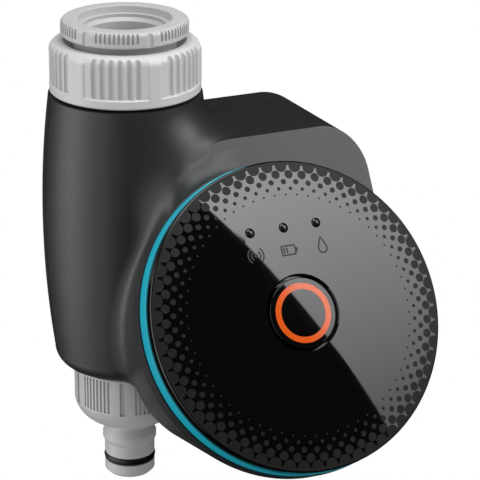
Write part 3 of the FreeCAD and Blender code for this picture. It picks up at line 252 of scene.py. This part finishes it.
# The housing, as in the CAD source. The lip and the flare have heights out of the panel.
COLUMN_TOP_R = 24.9
COLUMN_BELLY_R = 27.65
COLUMN_FOOT_R = 24.6
COLUMN_TOP = -24.5
COLUMN_H = 93.5
COLUMN_FOOT_ROUND = 6.0
COLUMN_FOOT = COLUMN_TOP - COLUMN_H
DRUM_LEFT = 2.0
DRUM_RIGHT = 70.2
DRUM_TOP = -35.7
DRUM_BOTTOM = -140.0
DRUM_FRONT = -45.0
DRUM_BACK = 26.0
DRUM_TOP_ROUND = 14.0
DRUM_SIDE_ROUND = 21.0
DRUM_BACK_ROUND = 14.0
DISH_LIP = 0.9
DISH_RIM_H = 4.4
DISH_FLARE_L = 54.5
DISH_FLARE_R = 35.2
FLARE_TOP = DISH_LIP - DISH_RIM_H
FLARE_LOW = FLARE_TOP - DISH_FLARE_L
SEAM_Y = 2.0
SEAM_GROOVE_W = 0.4
SEAM_SIDES = (SEAM_Y, SEAM_Y + SEAM_GROOVE_W)

# How wide the shoulder is and where it is widest, how soft the head is near
# the column, and how the shoulder ends at the lip
TIGHT_BLEND = 5.5
WIDE_BLEND = 16.0
WIDE_AT = np.array([10.0, -26.0, -42.0])
WIDE_REACH = 24.0
HEAD_SOFTNESS = 9.0
SOFT_REACH = 22.0
RIM_SLOPE = 0.6
RIM_SOFTNESS = 3.0
CREASE_ANGLE = math.radians(40)

# How far it stands off the solids, and how its edges are turned in
SHOULDER_PROUD = 0.02
SHOULDER_SUNK = 0.6
EDGE_STEP = 0.25
EDGE_STEPS = 24

# The box and the steps in which it is worked out
SHOULDER_LOW = np.array([-34.0, -54.0, -120.0])
SHOULDER_HIGH = np.array([58.0, 30.0, -20.0])
GRID = 1.0
SLOPE_STEP = 5.0
SETTLE_STEP = 0.01
SETTLE_ROUNDS = 4
LEAST_STEEPNESS = 0.1
LEAST_SIZE = 1e-6
LEAST_LENGTH = 1e-9
ON_PLANE = 1e-4


def arc_through(points):
    """Centre and radius of the circle through three points."""
    (ax, ay), (bx, by), (cx, cy) = points
    twice_area = 2 * (ax * (by - cy) + bx * (cy - ay) + cx * (ay - by))
    a2, b2, c2 = ax * ax + ay * ay, bx * bx + by * by, cx * cx + cy * cy
    centre_x = (a2 * (by - cy) + b2 * (cy - ay) + c2 * (ay - by)) / twice_area
    centre_y = (a2 * (cx - bx) + b2 * (ax - cx) + c2 * (bx - ax)) / twice_area
    return centre_x, centre_y, math.hypot(ax - centre_x, ay - centre_y)


COLUMN_ARC_FOOT = COLUMN_FOOT + COLUMN_FOOT_ROUND
ARC_X, ARC_Z, ARC_R = arc_through((
    (COLUMN_TOP_R, COLUMN_TOP),
    (COLUMN_BELLY_R, (COLUMN_TOP + COLUMN_ARC_FOOT) / 2),
    (COLUMN_FOOT_R, COLUMN_ARC_FOOT),
))


def off_corner(u, v, radius):
    """How far a place lies outside two faces that meet in a rounded corner."""
    u, v = u + radius, v + radius
    return np.hypot(np.maximum(u, 0), np.maximum(v, 0)) + np.minimum(np.maximum(u, v), 0) - radius


def off_span(value, low, high):
    """How far a value lies outside a span."""
    return np.abs(value - (low + high) / 2) - (high - low) / 2


def panel_place(at):
    """Distance from the panel's axis, and height out of the panel."""
    dx, dy, dz = (at[..., k] - PANEL[k] for k in range(3))
    return np.hypot(dx, dy * UP[1] + dz * UP[2]), dy * OUT[1] + dz * OUT[2]


def off_column(at):
    """How far a place lies outside the column, whose side is an arc."""
    side = np.hypot(np.hypot(at[..., 0], at[..., 1]) - ARC_X, at[..., 2] - ARC_Z) - ARC_R
    return off_corner(side, COLUMN_FOOT - at[..., 2], COLUMN_FOOT_ROUND)


def filled(a, b, size):
    """The smaller of two distances, with the corner between them filled in."""
    near = np.maximum(size - np.abs(a - b), 0)
    return np.minimum(a, b) - near ** 2 / (4 * size + LEAST_SIZE)


def off_head(at, softness=0.0):
    """How far a place lies outside the drum, the flare and the lip. The softness
    rounds off the edge of the plate and fills in the corner behind the flare."""
    ring, height = panel_place(at)
    rounding = np.where(at[..., 0] < PANEL[0], DRUM_SIDE_ROUND, DRUM_TOP_ROUND)
    beside, above = off_span(at[..., 0], DRUM_LEFT, DRUM_RIGHT), off_span(at[..., 2], DRUM_BOTTOM, DRUM_TOP)
    drum = off_corner(off_corner(beside, above, rounding), at[..., 1] - DRUM_BACK, DRUM_BACK_ROUND)
    drum = np.maximum(-filled(-drum, -height, softness), DRUM_FRONT - at[..., 1])
    lean = (DISH_R - DISH_FLARE_R) / (FLARE_TOP - FLARE_LOW)
    cone = (ring - DISH_R - lean * (height - FLARE_TOP)) / math.hypot(1, lean)
    return filled(drum, np.maximum.reduce([cone, ring - DISH_R, FLARE_LOW - height]), softness)


def off_sharp(at):
    """How far a place lies outside the housing as the solids have it."""
    return np.minimum(off_column(at), off_head(at))


def slope_of(field, at, step):
    """Which way, and how steeply, a field rises."""
    slope = np.stack([field(at + axis) - field(at - axis) for axis in np.eye(3) * step], axis=-1)
    return slope / (2 * step)


def off_shoulder(at):
    """How far a place lies outside the housing with the shoulder on it. The fill
    fades where the two surfaces look the same way, and ends at the rim of the lip."""
    column = off_column(at)
    head = off_head(at, HEAD_SOFTNESS * np.clip(1 - column / SOFT_REACH, 0, 1))
    far = ((at - WIDE_AT) ** 2).sum(-1) / WIDE_REACH ** 2
    blend = TIGHT_BLEND + (WIDE_BLEND - TIGHT_BLEND) * np.exp(-far ** 2)
    near = np.maximum(blend - np.abs(column - head), 0)
    a, b = slope_of(off_column, at, SLOPE_STEP), slope_of(off_head, at, SLOPE_STEP)
    lengths = np.linalg.norm(a, axis=-1) * np.linalg.norm(b, axis=-1)
    alike = (a * b).sum(-1) / (lengths + LEAST_LENGTH)
    fill = near ** 2 / (4 * blend) * (1 - np.maximum(alike, 0) ** 2)
    ring, height = panel_place(at)
    rim = (height - DISH_LIP + SHOULDER_PROUD - (ring - DISH_R) * RIM_SLOPE) / math.hypot(1, RIM_SLOPE)
    return -filled(fill - np.minimum(column, head), -rim, RIM_SOFTNESS)


def surface_net(field, origin, step):
    """Quads on the zero level of a field on a grid, with one corner in each cell that it crosses."""
    inside = field < 0
    shape = tuple(length - 1 for length in field.shape)
    total = np.zeros((*shape, 3))
    count = np.zeros(shape)

    def shifted(values, by):
        return values[by[0]:by[0] + shape[0], by[1]:by[1] + shape[1], by[2]:by[2] + shape[2]]

    for start in np.ndindex(2, 2, 2):
        for axis in range(3):
            if start[axis]:
                continue
            end = list(start)
            end[axis] = 1
            start_value, end_value = shifted(field, start), shifted(field, end)
            crossing = shifted(inside, start) != shifted(inside, end)
            share = np.where(crossing, start_value / np.where(crossing, start_value - end_value, 1), 0)
            point = np.broadcast_to(np.array(start, dtype=float), (*shape, 3)).copy()
            point[..., axis] += share
            total += point * crossing[..., None]
            count += crossing
    cells = np.argwhere(count > 0)
    index = -np.ones(shape, dtype=int)
    index[tuple(cells.T)] = np.arange(len(cells))
    corners = cells + total[tuple(cells.T)] / count[tuple(cells.T)][:, None]
    quads = []
    for axis in range(3):
        u, v = [other for other in range(3) if other != axis]
        low = [slice(None)] * 3
        high = [slice(None)] * 3
        low[axis] = slice(None, -1)
        high[axis] = slice(1, None)
        crossing = np.argwhere(inside[tuple(low)] != inside[tuple(high)])
        whole = (crossing[:, u] > 0) & (crossing[:, v] > 0)
        whole &= (crossing[:, u] < shape[u]) & (crossing[:, v] < shape[v])
        crossing = crossing[whole]
        ring = []
        for back_u, back_v in ((1, 1), (0, 1), (0, 0), (1, 0)):
            cell = crossing.copy()
            cell[:, u] -= back_u
            cell[:, v] -= back_v
            ring.append(index[tuple(cell.T)])
        quad = np.stack(ring, axis=1)
        # The cells run the other way round about the middle axis
        turned = inside[tuple(crossing.T)] == (axis == 1)
        quad[turned] = quad[turned][:, ::-1]
        quads.append(quad)
    return origin + corners * step, np.concatenate(quads)


def in_plane(edge, at, normal):
    """Whether both ends of an edge lie in a plane."""
    return all(abs((vert.co - at).dot(normal)) < ON_PLANE for vert in edge.verts)


def turn_in(bm, at, normal):
    """Grow the edge that lies in a plane inwards along that plane, until it is in the housing."""
    edges = [edge for edge in bm.edges if edge.is_boundary and in_plane(edge, at, normal)]
    if not edges:
        return
    grown = bmesh.ops.extrude_edge_only(bm, edges=edges)["geom"]
    added = [item for item in grown if isinstance(item, bmesh.types.BMVert)]
    places = np.array([vert.co[:] for vert in added])
    inward = -slope_of(off_shoulder, places, GRID / 2)
    flat = np.array(normal)
    inward = inward - flat * (inward @ flat)[:, None]
    inward = inward / np.maximum(np.linalg.norm(inward, axis=1), LEAST_LENGTH)[:, None]
    for _ in range(EDGE_STEPS):
        outside = off_sharp(places) > -EDGE_STEP
        places = places + inward * EDGE_STEP * outside[:, None]
    for vert, place in zip(added, places):
        vert.co = place


def cut_along(bm, at, normal, clear_outer=False):
    geometry = bm.verts[:] + bm.edges[:] + bm.faces[:]
    bmesh.ops.bisect_plane(bm, geom=geometry, plane_co=at, plane_no=normal, clear_outer=clear_outer)


def cut_off(bm, height, normal):
    """Take away what lies beyond a height, and turn in the edge."""
    at, normal = Vector((0, 0, height)), Vector(normal)
    cut_along(bm, at, normal, clear_outer=True)
    turn_in(bm, at, normal)


def cut_seam(bm):
    """The seam between the two halves of the housing runs on through the shoulder."""
    backwards = Vector((0, 1, 0))
    for y in SEAM_SIDES:
        cut_along(bm, Vector((0, y, 0)), backwards)
    groove = [face for face in bm.faces if SEAM_SIDES[0] < face.calc_center_median().y < SEAM_SIDES[1]]
    bmesh.ops.delete(bm, geom=groove, context="FACES")
    for y in SEAM_SIDES:
        turn_in(bm, Vector((0, y, 0)), backwards)


def shoulder_quads():
    """The surface with the shoulder, without what lies on the solids' surface or deep in them."""
    axes = [np.arange(SHOULDER_LOW[k], SHOULDER_HIGH[k] + GRID / 2, GRID) for k in range(3)]
    grid = np.stack(np.meshgrid(*axes, indexing="ij"), axis=-1)
    points, quads = surface_net(off_shoulder(grid), SHOULDER_LOW, GRID)
    for _ in range(SETTLE_ROUNDS):
        slope = slope_of(off_shoulder, points, SETTLE_STEP)
        steepness = np.maximum((slope ** 2).sum(1), LEAST_STEEPNESS)
        points = points - slope * (off_shoulder(points) / steepness)[:, None]
    height = off_sharp(points)[quads]
    clear_of_solids = (np.abs(height) > SHOULDER_PROUD).any(axis=1)
    return points, quads[clear_of_solids & (height > -SHOULDER_SUNK).any(axis=1)]


def shoulder():
    """The shoulder as an open skin on the housing, with its edges turned in."""
    points, quads = shoulder_quads()
    bm = bmesh.new()
    verts = {k: bm.verts.new(points[k]) for k in np.unique(quads)}
    for quad in quads:
        bm.faces.new([verts[k] for k in quad])
    cut_off(bm, COLUMN_TOP - SHOULDER_PROUD, (0, 0, 1))
    cut_off(bm, COLUMN_FOOT + SHOULDER_PROUD, (0, 0, -1))
    cut_seam(bm)
    for vert in bm.verts:
        vert.co = row_frame(vert.co)
    mesh = bpy.data.meshes.new("housing_shoulder")
    bm.to_mesh(mesh)
    bm.free()
    shade_smooth(mesh)
    mesh.set_sharp_from_angle(angle=CREASE_ANGLE)
    piece = in_scene("housing_shoulder", mesh)
    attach(piece, "housing")
    return piece


shoulder_piece = shoulder()
shoulder_piece.data.materials.append(ANTHRACITE)


# Print on the face: rows of dots that shrink inwards, a matt rim and three signs

# For each row of dots, its radius on the face and the size of its dots
DOT_ROWS = ((47.3, 4.0), (44.55, 2.85), (42.1, 1.8), (39.85, 1.2), (37.85, 0.65))
DOTS_PER_RING = 62
DOT_PHASE = math.radians(8.64)
DOT_SIDES = 24
RIM_BAND = (47.6, 48.6)
RIM_HEIGHT = INK_HEIGHT * 1.3
RIM_SIDES = 240


def face_dots():
    """The dots, cut off at the rim, and the rim itself just over them."""
    verts, faces = [], []
    for row, (radius, size) in enumerate(DOT_ROWS):
        stagger = 0.5 * ((row + 1) % 2)
        for k in range(DOTS_PER_RING):
            angle = DOT_PHASE + 2 * math.pi * (k + stagger) / DOTS_PER_RING
            middle_x, middle_y = radius * math.sin(angle), radius * math.cos(angle)
            first = len(verts)
            for x, y in round_points(size / 2, DOT_SIDES, middle_x, middle_y):
                reach = math.hypot(x, y)
                if reach > RIM_BAND[1]:
                    x, y = x * RIM_BAND[1] / reach, y * RIM_BAND[1] / reach
                verts.append(on_face(x, y))
            faces.append(list(range(first, first + DOT_SIDES)))
    inner = len(verts)
    outer = inner + RIM_SIDES
    for radius in RIM_BAND:
        verts += [on_face(x, y, RIM_HEIGHT) for x, y in round_points(radius, RIM_SIDES)]
    for k in range(RIM_SIDES):
        after = (k + 1) % RIM_SIDES
        faces.append([inner + k, outer + k, outer + after, inner + after])
    return mesh_piece("face_dots", verts, faces, "control_unit")


dots = face_dots()
dots.data.materials.append(INK)

# The signs, from left to right: radio waves, a battery and a drop
SIGN_Y = 20.05
LINE_WIDTH = 0.5
STOUT_WIDTH = 0.6
SIGNAL_X = -11.3
SIGNAL_RADII = (1.5, 2.6)
SIGNAL_HALF_ANGLE = 52
SIGNAL_DOT_R = 0.35
SIGNAL_DOT_STEPS = 12
BATTERY_X = -0.1
BATTERY_HALF_W = 2.3
BATTERY_HALF_H = 1.45
BATTERY_TIP_OUT = 0.55
BATTERY_TIP_HALF_H = 0.6
BATTERY_BARS = 2
BATTERY_BAR_IN = 0.85
BATTERY_BAR_PITCH = 0.95
BATTERY_BAR_HALF_H = 0.9
DROP_X = 11.7
DROP_R = 1.5
DROP_DOWN = 1.0
DROP_TIP_UP = 2.7
DROP_ARC = (150, 390)
DROP_STEPS = 24
DROP_FLANK = (0.35, 0.7)


def ribbon(verts, faces, path, closed=False, width=LINE_WIDTH):
    """A flat line of even width along a path on the face."""
    count = len(path)
    first = len(verts)
    for k, (x, y) in enumerate(path):
        before = path[(k - 1) % count] if closed or k else path[k]
        after = path[(k + 1) % count] if closed or k < count - 1 else path[k]
        dx, dy = after[0] - before[0], after[1] - before[1]
        length = math.hypot(dx, dy)
        side_x, side_y = -dy / length * width / 2, dx / length * width / 2
        verts.append(on_face(x + side_x, y + side_y))
        verts.append(on_face(x - side_x, y - side_y))
    runs = count if closed else count - 1
    for k in range(runs):
        a, b = first + 2 * k, first + 2 * ((k + 1) % count)
        faces.append([a, a + 1, b + 1, b])


def arc_path(x, y, radius, start, end, steps=16):
    """Points along an arc from one angle to another, in degrees."""
    angles = [math.radians(start + (end - start) * k / steps) for k in range(steps + 1)]
    return [(x + radius * math.cos(angle), y + radius * math.sin(angle)) for angle in angles]


def signal_sign(verts, faces):
    for middle in (0, 180):
        for radius in SIGNAL_RADII:
            start, end = middle - SIGNAL_HALF_ANGLE, middle + SIGNAL_HALF_ANGLE
            ribbon(verts, faces, arc_path(SIGNAL_X, SIGN_Y, radius, start, end))
    dot = arc_path(SIGNAL_X, SIGN_Y, SIGNAL_DOT_R, 0, 360, SIGNAL_DOT_STEPS)[:-1]
    ribbon(verts, faces, dot, True, STOUT_WIDTH)


def battery_sign(verts, faces):
    left, right = BATTERY_X - BATTERY_HALF_W, BATTERY_X + BATTERY_HALF_W
    low, high = SIGN_Y - BATTERY_HALF_H, SIGN_Y + BATTERY_HALF_H
    case = [(left, low), (right, low), (right, high), (left, high)]
    for a, b in zip(case, case[1:] + case[:1]):
        ribbon(verts, faces, [a, b])
    tip_x = right + BATTERY_TIP_OUT
    tip = [(tip_x, SIGN_Y - BATTERY_TIP_HALF_H), (tip_x, SIGN_Y + BATTERY_TIP_HALF_H)]
    ribbon(verts, faces, tip, width=STOUT_WIDTH)
    for k in range(BATTERY_BARS):
        bar_x = left + BATTERY_BAR_IN + BATTERY_BAR_PITCH * k
        ribbon(verts, faces, [(bar_x, SIGN_Y - BATTERY_BAR_HALF_H), (bar_x, SIGN_Y + BATTERY_BAR_HALF_H)])


def drop_sign(verts, faces):
    drop = arc_path(DROP_X, SIGN_Y - DROP_DOWN, DROP_R, *DROP_ARC, DROP_STEPS)
    end, tip = drop[-1], (DROP_X, SIGN_Y + DROP_TIP_UP)
    right = [(end[0] * (1 - t) + tip[0] * t, end[1] * (1 - t) + tip[1] * t) for t in DROP_FLANK]
    left = [(2 * DROP_X - x, y) for x, y in reversed(right)]
    ribbon(verts, faces, drop + right + [tip] + left, True)


def signs():
    verts, faces = [], []
    signal_sign(verts, faces)
    battery_sign(verts, faces)
    drop_sign(verts, faces)
    return mesh_piece("face_signs", verts, faces, "control_unit")


sign_piece = signs()
sign_piece.data.materials.append(SIGN)

# The gloss lacquer on the middle of the button, within its ring

LACQUER_R = 7.4
LACQUER_SIDES = 96
LACQUER_RINGS = 12


def button_lacquer():
    """Rings of quads round a point on the middle of the button."""
    verts, faces = [on_face(0, 0)], []
    for k in range(1, LACQUER_RINGS + 1):
        verts += [on_face(x, y) for x, y in round_points(LACQUER_R * k / LACQUER_RINGS, LACQUER_SIDES)]
    for k in range(LACQUER_SIDES):
        after = (k + 1) % LACQUER_SIDES
        faces.append([0, 1 + k, 1 + after])
        for ring in range(LACQUER_RINGS - 1):
            inner, outer = 1 + ring * LACQUER_SIDES, 1 + (ring + 1) * LACQUER_SIDES
            faces.append([inner + k, outer + k, outer + after, inner + after])
    return mesh_piece("button_lacquer", verts, faces, "button")


lacquer = button_lacquer()
lacquer.data.materials.append(FACE_BLACK)


# Camera, from the photograph's fit

CAMERA_AT = (-242.45, -580.38, 166.42)
CAMERA_YAW = math.radians(-26.07)
CAMERA_PITCH = math.radians(21.07)
CAMERA_ROLL = math.radians(0.53)
LENS_MM = 152.6
SENSOR_MM = 36.0
CLIP_START = 10.0
CLIP_END = 20000.0


def place_camera():
    """The camera looks down its own -Z, so that its Z points back from the object."""
    data = bpy.data.cameras.new("camera")
    data.lens = LENS_MM
    data.sensor_width = SENSOR_MM
    data.clip_start = CLIP_START * MM
    data.clip_end = CLIP_END * MM
    camera = in_scene("camera", data)
    back = Vector((math.sin(CAMERA_YAW) * math.cos(CAMERA_PITCH),
                   -math.cos(CAMERA_YAW) * math.cos(CAMERA_PITCH), math.sin(CAMERA_PITCH)))
    right = Vector((math.cos(CAMERA_YAW), math.sin(CAMERA_YAW), 0))
    up = back.cross(right)
    rolled_right = right * math.cos(CAMERA_ROLL) + up * math.sin(CAMERA_ROLL)
    rolled_up = up * math.cos(CAMERA_ROLL) - right * math.sin(CAMERA_ROLL)
    turn = Matrix((rolled_right, rolled_up, back)).transposed()
    camera.matrix_world = Matrix.Translation(row_frame(CAMERA_AT)) @ turn.to_4x4()
    bpy.context.scene.camera = camera


place_camera()


# Light

MIDDLE = np.array([15.0, -30.0, -80.0])


def soft_box(name, at, width, height, watts):
    """A soft box at a place in millimetres, turned to the middle of the object."""
    data = bpy.data.lights.new(name, "AREA")
    data.shape = "RECTANGLE"
    data.size = width * MM
    data.size_y = height * MM
    data.energy = watts
    lamp = in_scene(name, data)
    lamp.location = row_frame(at)
    direction = row_frame(MIDDLE) - row_frame(at)
    lamp.rotation_euler = direction.to_track_quat("-Z", "Y").to_euler()


# What the glossy face reflects: a bright board whose slanted edge crosses the
# face, and a black board beside it. Both stand BOARD_AWAY from the face.

BOARD_AWAY = 700.0
BOARD_DIRECTION = np.array([0.4321, -0.7485, 0.503])
BOARD_SLOPE = 3.62
BOARD_OFFSET = 35.6
BOARD_HALF = 360.0

# Two heights above the row's origin, and the strength of the light there
BOARD_LOW_Z = 80.0
BOARD_TOP_Z = 500.0
BOARD_LOW_LIGHT = 2.2
BOARD_TOP_LIGHT = 7.0


def board(name, corners, mat):
    """A flat board that the camera doesn't see and that casts no shadow."""
    across = np.cross(BOARD_DIRECTION, (0, 0, 1))
    across = across / np.linalg.norm(across)
    upwards = np.cross(across, BOARD_DIRECTION)
    centre = PANEL + OUT * COVER_TOP + BOARD_DIRECTION * BOARD_AWAY
    points = [row_frame(centre + across * x + upwards * y) for x, y in corners]
    piece = in_scene(name, mesh_of(name, points, [list(range(len(points)))]))
    piece.data.materials.append(mat)
    piece.visible_camera = False
    piece.visible_shadow = False


def board_light():
    """Light that falls off down the board, by height in the row's frame."""
    mat, nodes, links = material("bright_board")
    nodes.remove(nodes["Principled BSDF"])
    glow = nodes.new("ShaderNodeEmission")
    where = nodes.new("ShaderNodeTexCoord")
    parts = nodes.new("ShaderNodeSeparateXYZ")
    links.new(where.outputs["Object"], parts.inputs["Vector"])
    fade = nodes.new("ShaderNodeMapRange")
    fade.inputs["From Min"].default_value = BOARD_LOW_Z * MM
    fade.inputs["From Max"].default_value = BOARD_TOP_Z * MM
    fade.inputs["To Min"].default_value = BOARD_LOW_LIGHT
    fade.inputs["To Max"].default_value = BOARD_TOP_LIGHT
    links.new(parts.outputs["Z"], fade.inputs["Value"])
    links.new(fade.outputs["Result"], glow.inputs["Strength"])
    links.new(glow.outputs["Emission"], nodes["Material Output"].inputs["Surface"])
    return mat


def black_card():
    """Black without any gloss."""
    mat, nodes, links = material("black_board")
    shader = nodes["Principled BSDF"]
    shader.inputs["Base Color"].default_value = (0.001, 0.001, 0.001, 1)
    shader.inputs["Specular IOR Level"].default_value = 0.0
    return mat


def edge_x(y):
    """Where the boards meet at a height y up them."""
    return (y - BOARD_OFFSET) / BOARD_SLOPE


board("bright_board", [(-BOARD_HALF, -BOARD_HALF), (edge_x(-BOARD_HALF), -BOARD_HALF),
                       (edge_x(BOARD_HALF), BOARD_HALF), (-BOARD_HALF, BOARD_HALF)], board_light())
board("black_board", [(edge_x(-BOARD_HALF), -BOARD_HALF), (BOARD_HALF, -BOARD_HALF),
                      (BOARD_HALF, BOARD_HALF), (edge_x(BOARD_HALF), BOARD_HALF)], black_card())

CARD_AWAY = 1500.0


def dark_cards():
    """Dark cards all round but to the left, which only glossy rays meet."""
    corners = [np.array([x, y, z]) for x in (-1, 1) for y in (-1, 1) for z in (-1, 1)]
    points = [row_frame(MIDDLE + corner * CARD_AWAY) for corner in corners]
    faces = [(4, 5, 7, 6), (2, 3, 7, 6), (0, 1, 5, 4), (0, 2, 6, 4), (1, 3, 7, 5)]
    piece = in_scene("dark_cards", mesh_of("dark_cards", points, faces))
    piece.data.materials.append(black_card())
    for ray in ("visible_camera", "visible_diffuse", "visible_shadow", "visible_transmission"):
        setattr(piece, ray, False)


dark_cards()
soft_box("left_box", at=(-950.0, 180.0, 0.0), width=620, height=1300, watts=4.6)
soft_box("top_box", at=(0.0, -150.0, 650.0), width=500, height=400, watts=2.8)

# The world is white where the camera, gloss or clear plastic shows it, and dimmer as a light
SEEN_STRENGTH = 1.0
LIGHT_STRENGTH = 0.5


def larger_of(nodes, links, first, second):
    larger = nodes.new("ShaderNodeMath")
    larger.operation = "MAXIMUM"
    links.new(first, larger.inputs[0])
    links.new(second, larger.inputs[1])
    return larger.outputs[0]


def white_world():
    world = bpy.data.worlds.new("world")
    bpy.context.scene.world = world
    world.use_nodes = True
    nodes, links = world.node_tree.nodes, world.node_tree.links
    path = nodes.new("ShaderNodeLightPath")
    through = larger_of(nodes, links, path.outputs["Is Glossy Ray"], path.outputs["Is Transmission Ray"])
    seen = larger_of(nodes, links, path.outputs["Is Camera Ray"], through)
    strength = nodes.new("ShaderNodeMapRange")
    strength.inputs["To Min"].default_value = LIGHT_STRENGTH
    strength.inputs["To Max"].default_value = SEEN_STRENGTH
    links.new(seen, strength.inputs["Value"])
    background = nodes["Background"]
    background.inputs["Color"].default_value = (1, 1, 1, 1)
    links.new(strength.outputs["Result"], background.inputs["Strength"])


white_world()

bpy.context.scene.view_settings.view_transform = "Standard"
